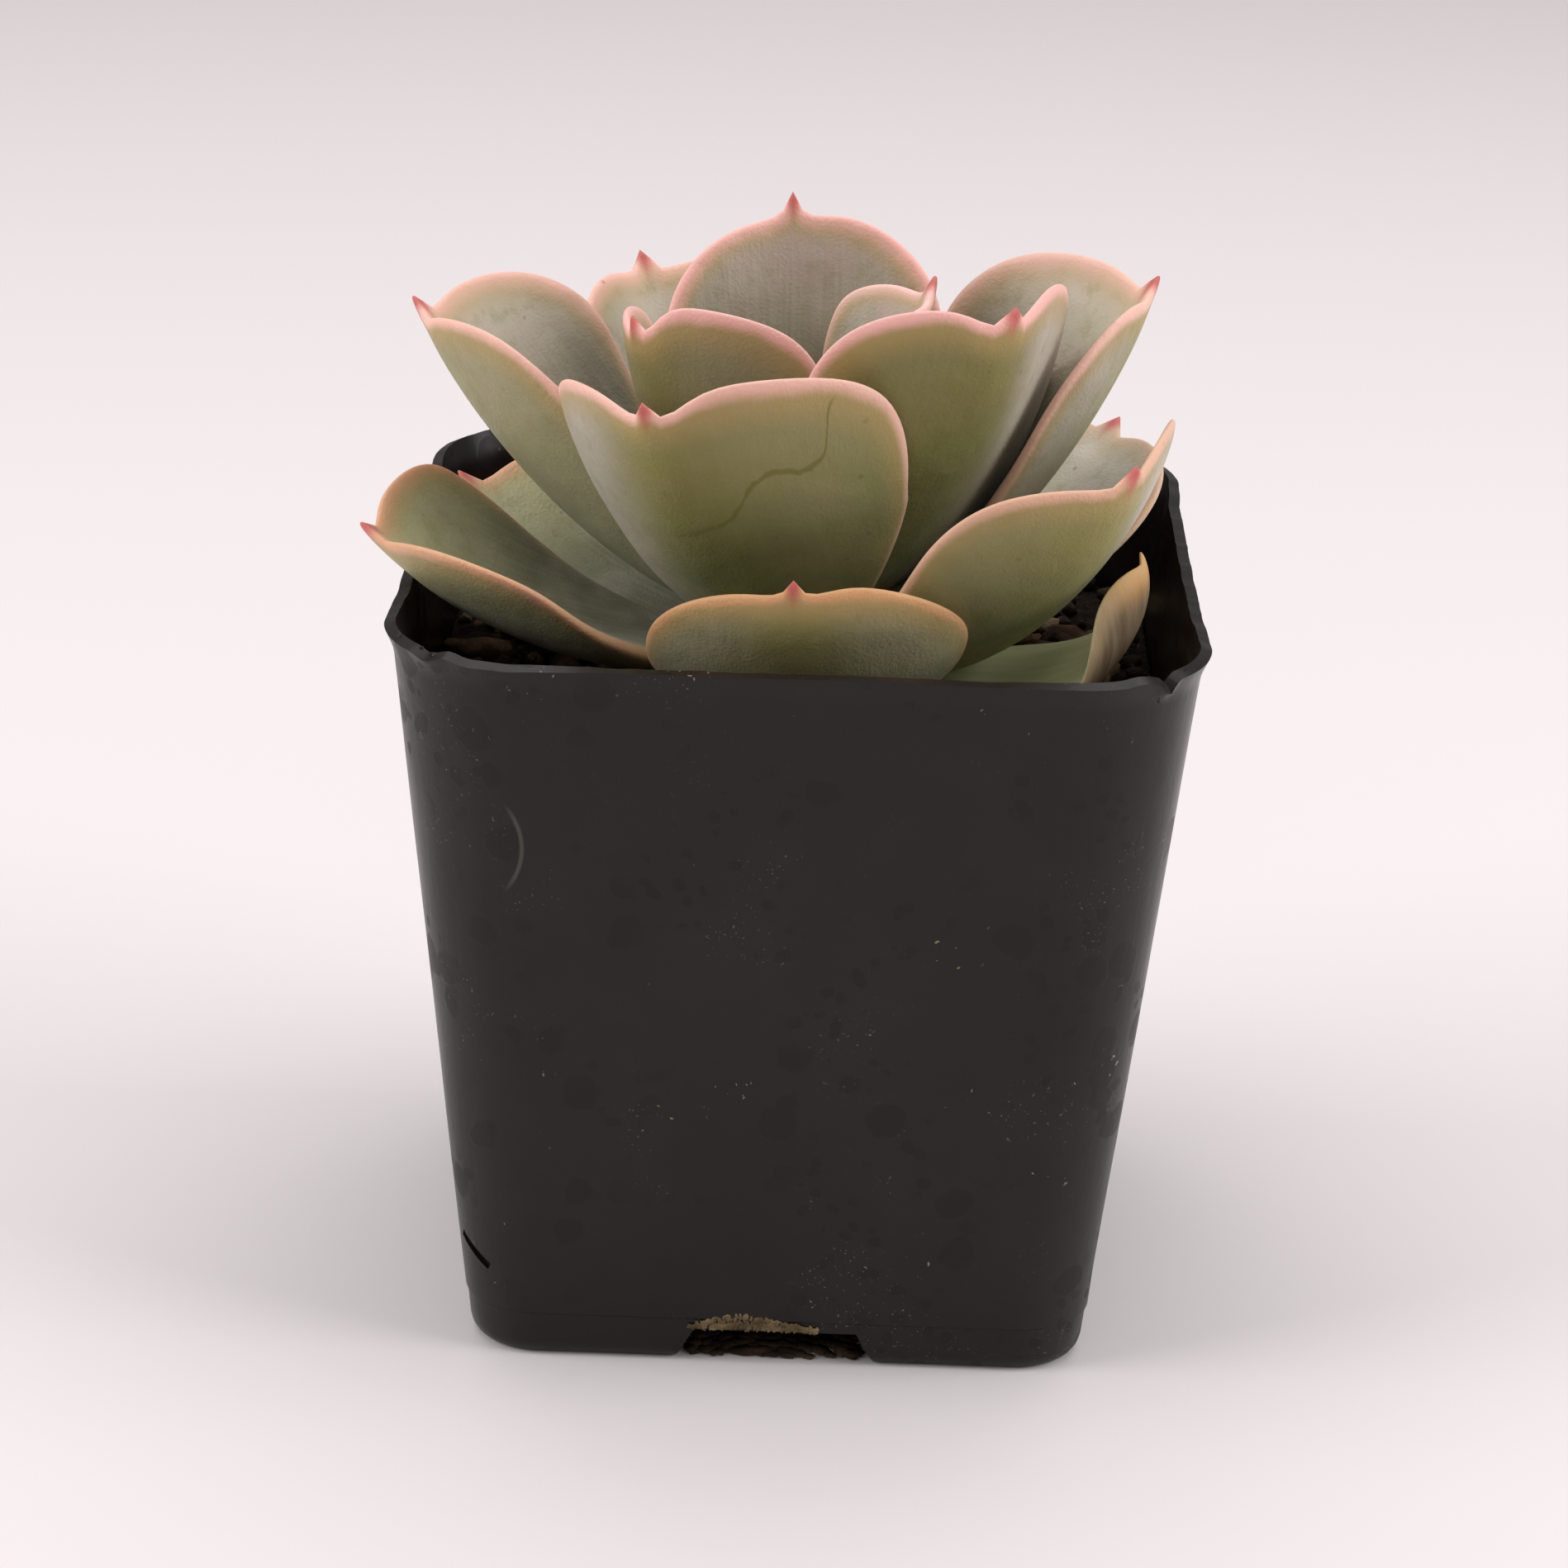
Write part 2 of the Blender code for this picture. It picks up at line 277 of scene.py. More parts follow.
def soft_light(name, place, size, power):
    """A wide flat lamp that faces the plant."""
    data = bpy.data.lights.new(name, "AREA")
    data.shape = "RECTANGLE"
    data.size, data.size_y = size
    data.energy = power
    lamp = bpy.data.objects.new(name, data)
    bpy.context.scene.collection.objects.link(lamp)
    lamp.location = place
    lamp.rotation_euler = (LIT_MIDDLE - Vector(place)).to_track_quat("-Z", "Y").to_euler()


soft_light("light above", (0.0, 0.14, 0.62), (0.7, 0.7), 2.75)
soft_light("light left", (-0.62, -0.15, 0.34), (0.45, 0.5), 3.1)
soft_light("light right", (0.62, -0.12, 0.34), (0.45, 0.5), 3.2)
soft_light("light in front", (-0.1, -0.75, 0.55), (0.5, 0.4), 0.35)

world = bpy.data.worlds.new("white tent")
world.use_nodes = True
world.node_tree.nodes["Background"].inputs["Color"].default_value = TENT_COLOUR
world.node_tree.nodes["Background"].inputs["Strength"].default_value = TENT_STRENGTH
bpy.context.scene.world = world
print(len(bpy.data.lights), "lamps in a tent of strength", TENT_STRENGTH)

# %% [markdown]
# ## The pot's form
#
# A nursery pot is moulded in one piece: four flat walls that taper downwards, joined by round corners. Each
# level of it is a rounded square. A tube with many sides can be turned into that form by moving each of its
# points out to the rounded square of its height, which keeps the mesh even all round the rim.

# %% Sizes of the pot, from the frame
RIM_HALF, _, POT_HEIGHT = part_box("pot")[1]
BASE_HALF = 0.0215
RIM_CORNER = 0.0093
BASE_CORNER = 0.005
WALL = 0.8 * MM
SKIRT_HEIGHT = 3.4 * MM
SKIRT_STEP = 0.12 * MM
BASE_ROUNDING = 1.2 * MM
BASE_FORWARD = 0.6 * MM
LIP_HEIGHT = 1.2 * MM
LIP_FLARE = 0.12 * MM


def reach_of_square(angle, half, corner):
    """How far a rounded square's outline lies from its middle, in this direction."""
    along, aside = abs(math.cos(angle)), abs(math.sin(angle))
    along, aside = max(along, aside), min(along, aside)
    if half * aside / along <= half - corner:
        return half / along
    middle = (half - corner) * (along + aside)
    return middle + math.sqrt(middle**2 - 2 * (half - corner) ** 2 + corner**2)


def pot_section(height, inset=0.0):
    """Half width and corner radius of the pot at this height."""
    up = height / POT_HEIGHT
    half = BASE_HALF + (RIM_HALF - BASE_HALF) * up
    corner = BASE_CORNER + (RIM_CORNER - BASE_CORNER) * up
    return half - inset, corner - inset


print("pot:", round(POT_HEIGHT * 1000, 2), "mm high and", round(2 * RIM_HALF * 1000, 1), "mm across its rim")

# %% [markdown]
# ## The pot's rim
#
# The rim was trimmed roughly after moulding. It isn't quite level, its edge is nibbled all the way round,
# and at two corners a rag of plastic is left. Cutting all this by hand would be slow and hard to change, so
# it is a formula: a lift and a lean for each direction round the rim, which the pot's points take up.


# %% How the rim wanders
# Each notch or bump's direction, width in degrees and height
RAGS = (
    (-134.0, 1.4, -0.3 * MM),
    (-131.0, 1.2, 0.25 * MM),
    (-46.0, 1.0, -0.9 * MM),
    (-49.5, 1.5, 0.2 * MM),
)


def rim_lift(angle):
    """How far the rim's edge lies above or below its true height, and how far it leans out."""
    at = Vector((math.cos(angle), math.sin(angle), 0))
    slow = noise.noise(at * 3.0 + Vector((5.2, 0, 0)))
    fine = noise.fractal(at * 10.0, 0.6, 2.0, 3)
    rag = 0
    for where, width, height in RAGS:
        away = (angle - math.radians(where) + math.pi) % (2 * math.pi) - math.pi
        rag += height * math.exp(-((away / math.radians(width)) ** 2))
    return 0.12 * MM * slow + 0.06 * MM * fine - 0.05 * MM + rag, 0.04 * MM * fine


# %% The pot
SIDES = 480
RINGS = 30
CORNER_FLARE = 0.45 * MM
WALL_WANDER = 0.12 * MM


def edit_edges(piece, wanted):
    """Starts edit mode with the edges selected whose two heights are as wanted."""
    only(piece)
    bpy.ops.object.mode_set(mode="EDIT")
    bpy.ops.mesh.select_mode(type="EDGE")
    bpy.ops.mesh.select_all(action="DESELECT")
    bpy.ops.object.mode_set(mode="OBJECT")
    for edge in piece.data.edges:
        edge.select = wanted([piece.data.vertices[index].co.z for index in edge.vertices])
    bpy.ops.object.mode_set(mode="EDIT")


deselect_everything()
bpy.ops.mesh.primitive_cylinder_add(
    vertices=SIDES, radius=1, depth=1, end_fill_type="NOTHING", location=(0, 0, 0.5)
)
pot = named("nursery_pot")
settle(pot)

edit_edges(pot, lambda ends: abs(ends[0] - ends[1]) > 0.5)
bpy.ops.mesh.subdivide(number_cuts=RINGS - 1)
bpy.ops.object.mode_set(mode="OBJECT")

# Rings crowd together at the skirt's step and at the lip
LEVELS = [share * BASE_ROUNDING for share in (0, 0.1, 0.3, 0.6, 1)]
LEVELS += [0.7 * SKIRT_HEIGHT, SKIRT_HEIGHT, SKIRT_HEIGHT + SKIRT_STEP]
SKIRT_RING = 6
LIP_LEVELS = [POT_HEIGHT - share * LIP_HEIGHT for share in (1.2, 0.9, 0.6, 0.3, 0.12, 0)]
LIP_FOOT = POT_HEIGHT - 1.6 * LIP_HEIGHT
WALL_FOOT = LEVELS[-1]
WALL_RINGS = RINGS + 1 - len(LEVELS) - len(LIP_LEVELS)
LEVELS += [WALL_FOOT + (LIP_FOOT - WALL_FOOT) * (step + 1) / WALL_RINGS for step in range(WALL_RINGS)]
LEVELS += LIP_LEVELS
points = points_of(pot)
for point in points:
    ring = round(point[2] * RINGS)
    height = LEVELS[ring]
    angle = math.atan2(point[1], point[0])
    lift, lean = rim_lift(angle)
    near_rim = max(0, 1 - (POT_HEIGHT - height) / (2 * LIP_HEIGHT)) ** 2
    inset = SKIRT_STEP if ring <= SKIRT_RING else 0
    below = max(0, 1 - height / BASE_ROUNDING)
    inset += BASE_ROUNDING * (1 - math.sqrt(1 - below**2)) * 0.8
    inset += LIP_FLARE * min(1, max(0, (POT_HEIGHT - height) / LIP_HEIGHT - 0.2))
    at_corner = max(0, 1 - abs(abs(math.sin(2 * angle)) - 1) * 4)
    inset -= CORNER_FLARE * at_corner * near_rim
    if ring > SKIRT_RING + 1:
        inset -= WALL_WANDER * noise.noise(Vector((math.cos(angle) * 2, math.sin(angle) * 2, height * 60)))
    half, corner = pot_section(height, inset - lean * near_rim)
    reach = reach_of_square(angle, half, corner)
    forward = BASE_FORWARD * (1 - height / POT_HEIGHT)
    point[:] = reach * math.cos(angle), reach * math.sin(angle) - forward, height + lift * near_rim
move_points(pot, points)

# The floor closes the tube, and the wall gets its thickness
edit_edges(pot, lambda ends: max(ends) < 0.01 * MM)
bpy.ops.mesh.edge_face_add()
bpy.ops.mesh.normals_make_consistent(inside=False)
bpy.ops.object.mode_set(mode="OBJECT")
wall = pot.modifiers.new("wall", "SOLIDIFY")
wall.thickness = WALL
wall.offset = -1
apply_modifiers(pot)
print("pot wall:", WALL * 1000, "mm")

# %% [markdown]
# ## Drainage
#
# In the foot of each side is a low opening, through which water runs out. Drawing it into the tube would
# upset its even rings, so each is cut afterwards with a box that narrows upwards.

# %% Drainage openings
NOTCH_WIDTH = 14.0 * MM
NOTCH_TAPER = 0.2
NOTCH_HEIGHT = 2.6 * MM
NOTCH_DEPTH = 8 * MM


def cut_away(piece, cutter):
    """Takes the cutter's shape out of the piece, and removes the cutter."""
    cut = piece.modifiers.new("cut", "BOOLEAN")
    cut.object = cutter
    cut.solver = "EXACT"
    apply_modifiers(piece)
    bpy.data.objects.remove(cutter, do_unlink=True)


for side in range(4):
    deselect_everything()
    turn = Matrix.Rotation(math.radians(90 * side), 4, "Z")
    bpy.ops.mesh.primitive_cube_add(size=1, location=(0, 0, 0))
    cutter = named("notch_cutter")
    reach = BASE_HALF - NOTCH_DEPTH / 2 + WALL
    points = points_of(cutter)
    points[:, 0] *= 1 - NOTCH_TAPER * np.sign(points[:, 2])
    move_points(cutter, points)
    cutter.data.transform(
        turn
        @ Matrix.Translation((0, -reach, 0))
        @ Matrix.Diagonal((NOTCH_WIDTH, NOTCH_DEPTH + 2 * WALL, 2 * NOTCH_HEIGHT, 1))
    )
    cut_away(pot, cutter)
print("openings:", NOTCH_HEIGHT * 1000, "mm high")

# %% [markdown]
# ## A cut near the foot
#
# Low on the front left corner a short slanting slit goes through the wall. A dark line in the finish would
# be quicker, but would show no depth, so the slit is cut out with a thin box. The pot is shaded smooth only
# after its last cut, and stays sharp where its surface turns by more than a set angle.

# %% A cut in the front left corner
CUT_ANGLE = math.radians(-136)
CUT_HEIGHT = 7.4 * MM
CUT_TILT = math.radians(-28)
CUT_SIZE = (1.0 * MM, 3.3 * MM, 0.65 * MM)
SHARP_FROM = 35

deselect_everything()
bpy.ops.mesh.primitive_cube_add(size=1, location=(0, 0, 0))
cutter = named("slit_cutter")
half, corner = pot_section(CUT_HEIGHT)
reach = reach_of_square(CUT_ANGLE, half, corner)
across, out = reach * math.cos(CUT_ANGLE), reach * math.sin(CUT_ANGLE) - BASE_FORWARD * 0.85
cutter.data.transform(
    Matrix.Translation((across, out, CUT_HEIGHT))
    @ Matrix.Rotation(CUT_ANGLE, 4, "Z")
    @ Matrix.Rotation(CUT_TILT, 4, "X")
    @ Matrix.Diagonal((*CUT_SIZE, 1))
)
cut_away(pot, cutter)
shade_smooth(pot, SHARP_FROM)
print("slit:", CUT_SIZE[1] * 1000, "mm long")

# %% [markdown]
# ## The pot's finish
#
# Satin black plastic that has been used: faint moulding ripples, dried water drops, dust, pale specks of mix
# and one curved scratch. A painted picture would need a flat layout of the pot, so each mark is a pattern of
# its own instead: cells make the specks and drops, a noise thins them out, and another noise makes their
# outlines ragged.

# %% Black plastic
SCRATCH_MIDDLE = (-22.4 * MM, 39.3 * MM)
SCRATCH_RADIUS = 4.8 * MM
SCRATCH_FROM = (3.5 * MM, 4.5 * MM)
SCRATCH_FRONT = (-18 * MM, -20 * MM)

plastic = Finish("used black plastic", roughness=0.4)
film = plastic.ramp(plastic.noise(60, 4, 0.6), 0.35, 0.75)
ragged = plastic.mix(0.0006, plastic.place, plastic.noise(1700, 2, output="Color"), blend="LINEAR_LIGHT")
specks = plastic.ramp(plastic.cells(1000, place=ragged), 0.13, 0.07)
specks = plastic.times(specks, plastic.ramp(plastic.noise(170, 2), 0.58, 0.68))
fine_specks = plastic.ramp(plastic.cells(2400, place=ragged), 0.17, 0.1)
fine_specks = plastic.times(fine_specks, plastic.ramp(plastic.noise(120, 3), 0.54, 0.66, 0, 0.5))
specks = plastic.math("MAXIMUM", specks, fine_specks)

wobbly = plastic.mix(0.0011, plastic.place, plastic.noise(260, 3, output="Color"), blend="LINEAR_LIGHT")
drops = plastic.ramp(plastic.cells(240, place=wobbly), 0.36, 0.30)
drops = plastic.times(drops, plastic.ramp(plastic.noise(75, 2), 0.47, 0.58))
small_drops = plastic.ramp(plastic.cells(620, place=wobbly), 0.34, 0.26)
small_drops = plastic.times(small_drops, plastic.ramp(plastic.noise(110, 2), 0.5, 0.6))
drops = plastic.math("MAXIMUM", drops, small_drops)
dust = plastic.ramp(plastic.noise(2600, 4, 0.7), 0.62, 0.74)
dust = plastic.times(dust, plastic.ramp(plastic.noise(45, 3), 0.5, 0.75))
colour = plastic.mix(film, (0.0095, 0.0062, 0.0062), (0.0145, 0.0098, 0.0098))
colour = plastic.mix(plastic.times(drops, 0.55), colour, (0.005, 0.004, 0.0045))
colour = plastic.mix(plastic.times(dust, 0.35), colour, (0.09, 0.07, 0.06))
colour = plastic.mix(plastic.times(specks, 0.75), colour, (0.34, 0.25, 0.17))

# The scratch is part of a thin ring on the front wall, left of the middle
parts = plastic.tree.nodes.new("ShaderNodeSeparateXYZ")
plastic.put(parts.inputs[0], plastic.place)
aside = plastic.math("SUBTRACT", parts.outputs["X"], SCRATCH_MIDDLE[0])
above = plastic.math("SUBTRACT", parts.outputs["Z"], SCRATCH_MIDDLE[1])
squares = plastic.math("ADD", plastic.math("POWER", aside, 2), plastic.math("POWER", above, 2))
off_ring = plastic.math("ABSOLUTE", plastic.math("SUBTRACT", plastic.math("SQRT", squares), SCRATCH_RADIUS))
scratch = plastic.ramp(off_ring, 0.22 * MM, 0.04 * MM)
in_part = plastic.times(plastic.ramp(aside, *SCRATCH_FROM), plastic.ramp(parts.outputs["Y"], *SCRATCH_FRONT))
scratch = plastic.times(scratch, in_part)
colour = plastic.mix(plastic.times(scratch, 0.5), colour, (0.11, 0.10, 0.085))

rough = plastic.ramp(plastic.noise(55, 4), 0.3, 0.75, 0.27, 0.39)
rough = plastic.math("ADD", rough, plastic.times(drops, 0.12))
ripple = plastic.noise(1, 3, 0.5, place=plastic.stretched((420, 420, 60)))
surface = plastic.bump(ripple, 0.18, 0.0003)
surface = plastic.bump(plastic.noise(1800, 3), 0.12, 0.0001, under=surface)
surface = plastic.bump(drops, 0.12, 0.0001, under=surface)
plastic.set(Base_Color=colour, Roughness=rough, Normal=surface, Specular_IOR_Level=0.27)
finish_piece(pot, plastic.material, "pot", "pot")

# %% [markdown]
# ## The potting mix
#
# The mix is dark and crumbly, and lies in low heaps. Loose crumbs alone would need many thousands to fill
# the pot, so most of it is one block: a grid given depth, with its top lifted by a noise and each level
# fitted inside the pot.

# %% The block of mix
SOIL_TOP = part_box("potting_mix")[1][2]
SOIL_LOW = NOTCH_HEIGHT + 0.2 * MM
SOIL_GRID = 170
SOIL_GAP = 0.05 * MM


def soil_height(x, y):
    """Height of the mix's top: higher against the wall and in the corners, rough at two sizes."""
    edge = max(abs(x), abs(y)) / RIM_HALF
    heap = 1.3 * MM * edge**3 + 0.9 * MM * noise.noise(Vector((x, y, 0)) * 130)
    return SOIL_TOP + 0.2 * MM + heap + 0.55 * MM * noise.fractal(Vector((x, y, 0)) * 420, 0.7, 2.2, 4)


deselect_everything()
bpy.ops.mesh.primitive_grid_add(
    x_subdivisions=SOIL_GRID, y_subdivisions=SOIL_GRID, size=2, location=(0, 0, 0)
)
mix_block = named("mix_block")
depth = mix_block.modifiers.new("depth", "SOLIDIFY")
depth.thickness = 1
depth.offset = -1
apply_modifiers(mix_block)
points = points_of(mix_block)
for point in points:
    height = SOIL_TOP if point[2] > -0.5 else SOIL_LOW
    half, corner = pot_section(height, WALL + SOIL_GAP)
    angle = math.atan2(point[1], point[0])
    reach = max(abs(point[0]), abs(point[1])) * reach_of_square(angle, half, corner)
    x, y = reach * math.cos(angle), reach * math.sin(angle)
    point[:] = x, y, soil_height(x, y) if height == SOIL_TOP else height
move_points(mix_block, points)
shade_smooth(mix_block)

# %% The finish of the mix
mix = Finish("potting mix", roughness=0.95)
grain = mix.noise(1600, 5, 0.7)
lumps = mix.cells(700)
colour = mix.mix(mix.ramp(grain, 0.35, 0.7), (0.010, 0.007, 0.005), (0.045, 0.028, 0.018))
colour = mix.mix(mix.ramp(mix.noise(220, 3), 0.55, 0.75), colour, (0.075, 0.045, 0.028))
surface = mix.bump(grain, 0.8, 0.0006)
surface = mix.bump(lumps, 0.5, 0.0006, under=surface)
mix.set(Base_Color=colour, Normal=surface, Specular_IOR_Level=0.15)
finish_piece(mix_block, mix.material, "potting_mix", "potting_mix")

# %% [markdown]
# ## Crumbs
#
# On top lie crumbs of peat and bark, and pale granules of perlite and grit. A few crumbs of each kind are
# modelled as dented little balls, and the rest are turned and resized copies of those, all in one mesh for
# each kind. The peat is the finest and has the most crumbs, so its balls have only twenty faces. Those of
# bark and perlite are larger in view and have eighty.


# %% Crumbs
MIDDLE_UP = 0.25  # how far a crumb's middle is above the mix, as a share of its size
MOST_TILT = 0.6  # radians


def dented_balls(kinds, rough, flat, seed, rounds=2):
    """Point and face lists of a few crumbs, each about 1 across."""
    made = []
    for kind in range(kinds):
        deselect_everything()
        bpy.ops.mesh.primitive_ico_sphere_add(subdivisions=rounds, radius=0.5)
        ball = bpy.context.object
        points = points_of(ball)
        for point in points:
            direction = Vector(point).normalized()
            dent = noise.fractal(direction * 1.7 + Vector((seed + 7.3 * kind, 0, 0)), 0.8, 2.2, 3)
            point *= 1 + rough * dent
        points[:, 2] *= flat
        faces = [tuple(face.vertices) for face in ball.data.polygons]
        made.append((points, faces))
        bpy.data.objects.remove(ball, do_unlink=True)
    return made


def join_crumbs(name, placed):
    """One mesh of all the crumbs given, each with its points and faces and the matrix that places it."""
    all_points, all_faces, first = [], [], 0
    for (points, faces), matrix in placed:
        turned = points @ np.array(matrix.to_3x3()).T + np.array(matrix.translation)
        all_points += turned.tolist()
        all_faces += [[index + first for index in face] for face in faces]
        first += len(points)
    mesh = bpy.data.meshes.new(name)
    mesh.from_pydata(all_points, [], all_faces)
    piece = bpy.data.objects.new(name, mesh)
    bpy.context.scene.collection.objects.link(piece)
    shade_smooth(piece)
    return piece


def scatter(name, count, sizes, kinds, seed, long=(1, 1)):
    """Lays turned copies of the crumbs in the mix's top, each drawn out by a share between those of long."""
    draw = random.Random(seed)
    placed = []
    while len(placed) < count:
        x = draw.uniform(-1, 1) * RIM_HALF
        y = draw.uniform(-1, 1) * RIM_HALF
        size = sizes[0] + (sizes[1] - sizes[0]) * draw.random() ** 2.2
        half, corner = pot_section(SOIL_TOP, WALL + 0.3 * MM + 0.5 * size)
        if math.hypot(x, y) > reach_of_square(math.atan2(y, x), half, corner):
            continue
        place = Matrix.Translation((x, y, soil_height(x, y) + MIDDLE_UP * size))
        turn = Matrix.Rotation(draw.uniform(0, 2 * math.pi), 4, "Z")
        tilt = Matrix.Rotation(draw.uniform(-MOST_TILT, MOST_TILT), 4, "X")
        stretch = Matrix.Diagonal((draw.uniform(*long) * size, size, size, 1))
        placed.append((kinds[draw.randrange(len(kinds))], place @ turn @ tilt @ stretch))
    return join_crumbs(name, placed)


def crumb_finish(name, dark, pale):
    """Dull, and blotched and grained between a dark and a pale colour."""
    finish = Finish(name, roughness=0.9)
    colour = finish.mix(finish.ramp(finish.noise(350, 3), 0.35, 0.65), dark, pale)
    colour = finish.mix(finish.ramp(finish.noise(2500, 4), 0.4, 0.8, 0, 0.6), colour, dark)
    surface = finish.bump(finish.noise(3000, 4), 0.6, 0.0003)
    finish.set(Base_Color=colour, Normal=surface, Specular_IOR_Level=0.2)
    return finish.material


peat_balls = dented_balls(5, rough=0.4, flat=0.8, seed=1, rounds=1)
peat = scatter("peat_crumbs", 1500, (0.4 * MM, 1.8 * MM), peat_balls, seed=11)
finish_piece(peat, crumb_finish("peat", (0.012, 0.008, 0.006), (0.06, 0.036, 0.022)), "potting_mix")
bark_balls = dented_balls(5, rough=0.45, flat=0.45, seed=5)
bark = scatter("bark_chips", 260, (0.8 * MM, 3.6 * MM), bark_balls, seed=12, long=(1, 1.9))
finish_piece(bark, crumb_finish("bark", (0.07, 0.038, 0.02), (0.20, 0.11, 0.06)), "potting_mix")
perlite_balls = dented_balls(5, rough=0.55, flat=0.85, seed=9)
perlite = scatter("perlite_granules", 150, (0.6 * MM, 2.6 * MM), perlite_balls, seed=13)
finish_piece(perlite, crumb_finish("perlite", (0.16, 0.10, 0.055), (0.36, 0.25, 0.155)), "potting_mix")

# %% [markdown]
# ## Crust, and a dark bed in the opening
#
# Above the front opening a tan crust has dried on the wall, and inside the opening a thin, dark brown bed of
# flat crumbs lies on the floor, starting a little way behind the front. A finish can't stand out from the
# wall, so both are heaps of the same small crumbs: those of the crust are pressed flat against the wall, and
# those in the opening are pressed flat on the floor.

# %% Crust over the front opening
CRUST_CRUMBS = 300
CRUST_MIDDLE = -1.4 * MM
CRUST_HALF = 4.4 * MM
CRUST_HEIGHT = 1.0 * MM
CRUST_ABOVE = 0.22 * MM

draw = random.Random(3)
small_crumbs = dented_balls(5, rough=0.4, flat=0.9, seed=21, rounds=1)
placed = []
for number in range(CRUST_CRUMBS):
    share = draw.uniform(-1, 1)
    heap = CRUST_HEIGHT * (1 - share**2) * (1 - 0.7 * share)
    up = NOTCH_HEIGHT + CRUST_ABOVE + heap * draw.random() ** 1.4
    wall = -pot_section(up)[0] - BASE_FORWARD * (1 - up / POT_HEIGHT) + SKIRT_STEP
    size = draw.uniform(0.2, 0.5) * MM
    at = Matrix.Translation((CRUST_MIDDLE + CRUST_HALF * share, wall + 0.02 * MM, up))
    turn = Matrix.Rotation(draw.uniform(0, 2 * math.pi), 4, "Y")
    flat = Matrix.Diagonal((1.5 * size, 0.5 * size, 0.8 * size, 1))
    placed.append((small_crumbs[number % 5], at @ turn @ flat))
crust = join_crumbs("crust_over_opening", placed)
crust_finish = crumb_finish("dried crust", (0.07, 0.048, 0.022), (0.26, 0.185, 0.095))
finish_piece(crust, crust_finish, "potting_mix", "potting_mix")

# %% A dark bed of crumbs in the opening
BED_CRUMBS = 320
BED_DEPTH = (1.3, 7.2)
BED_SIZE = (0.8, 1.5)
BED_FLAT = 0.15

placed = []
for number in range(BED_CRUMBS):
    x = draw.uniform(-0.42, 0.42) * NOTCH_WIDTH
    y = -BASE_HALF - BASE_FORWARD + draw.uniform(*BED_DEPTH) * MM
    size = draw.uniform(*BED_SIZE) * MM
    at = Matrix.Translation((x, y, 0.12 * size))
    turn = Matrix.Rotation(draw.uniform(0, 2 * math.pi), 4, "Z")
    flat = Matrix.Diagonal((size, size, BED_FLAT * size, 1))
    placed.append((small_crumbs[number % 5], at @ turn @ flat))
dark_bed = join_crumbs("dark_bed_in_opening", placed)
dark_bed_finish = crumb_finish("dark bed in opening", (0.03, 0.018, 0.01), (0.09, 0.055, 0.03))
finish_piece(dark_bed, dark_bed_finish, "potting_mix", "potting_mix")

# %% [markdown]
# ## Torn scraps
#
# Where the rim was trimmed badly, at its two front corners, thin scraps of plastic still hang. The rim's own
# mesh is too even to be torn, so they are pieces of their own: the small crumbs again, drawn out to slivers
# in the same plastic. They are few, and each shows, so each is given its own place, one by one.

# %% Torn scraps at the rim
# Each scrap's direction, height against the rim, length and turn
SCRAPS = (
    (-44.6, -0.3, 1.3, 62),
    (-46.8, -0.9, 1.5, -74),
    (-43.2, 0.0, 1.2, 15),
    (-40.5, -0.1, 1.4, -12),
    (-36.0, -0.5, 1.2, 40),
    (-133.2, 0.0, 1.0, -20),
    (-136.0, -0.1, 1.2, 35),
    (-140.0, 0.1, 0.9, -50),
)
SCRAP_WIDTH = 0.5 * MM
SCRAP_INSET = 0.15 * MM

placed = []
half, corner = pot_section(POT_HEIGHT, SCRAP_INSET)
for where, level, size, turned in SCRAPS:
    angle = math.radians(where)
    reach = reach_of_square(angle, half, corner)
    at = Matrix.Translation((reach * math.cos(angle), reach * math.sin(angle), POT_HEIGHT + level * MM))
    turn = Matrix.Rotation(angle, 4, "Z") @ Matrix.Rotation(math.radians(turned), 4, "X")
    sliver = Matrix.Diagonal((SCRAP_WIDTH, size * MM, SCRAP_WIDTH, 1))
    placed.append((small_crumbs[len(placed) % 5], at @ turn @ sliver))
scraps = join_crumbs("torn_rim_scraps", placed)
finish_piece(scraps, plastic.material, "pot", "pot")

# %% [markdown]
# ## The stem
#
# The stem hardly shows between the leaves. It could be modelled again with scars of old leaves, but nothing
# of them would be seen. Its solid has the right shape, so it only gets a finish like dull bark.

# %% The stem
stem_finish = Finish("stem bark", roughness=0.85)
rings = stem_finish.noise(1, 4, 0.6, place=stem_finish.stretched((300, 300, 1200)))
colour = stem_finish.mix(stem_finish.ramp(rings, 0.3, 0.7), (0.10, 0.06, 0.035), (0.22, 0.17, 0.09))
stem_finish.set(Base_Color=colour, Normal=stem_finish.bump(rings, 0.5, 0.0003))
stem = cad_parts["stem"]
stem.data.materials.clear()
stem.data.materials.append(stem_finish.material)
print("stem finished:", stem.name)

# %% [markdown]
# ## The form of a leaf
#
# Each leaf is a thick, waxy blade with a small hard point. It is hollow above and keeled below, and its
# margin is round. Each could be sculpted, but eighteen of them would then take eighteen times the work. So
# all are made by one formula: a ball of small faces is flattened to the leaf's outline, curled up on each
# side of its midrib, and carried along the midrib, which rises from the stem in a curve. The leaves differ
# only in their measurements, which follow those of the solids that they replace without being the same.


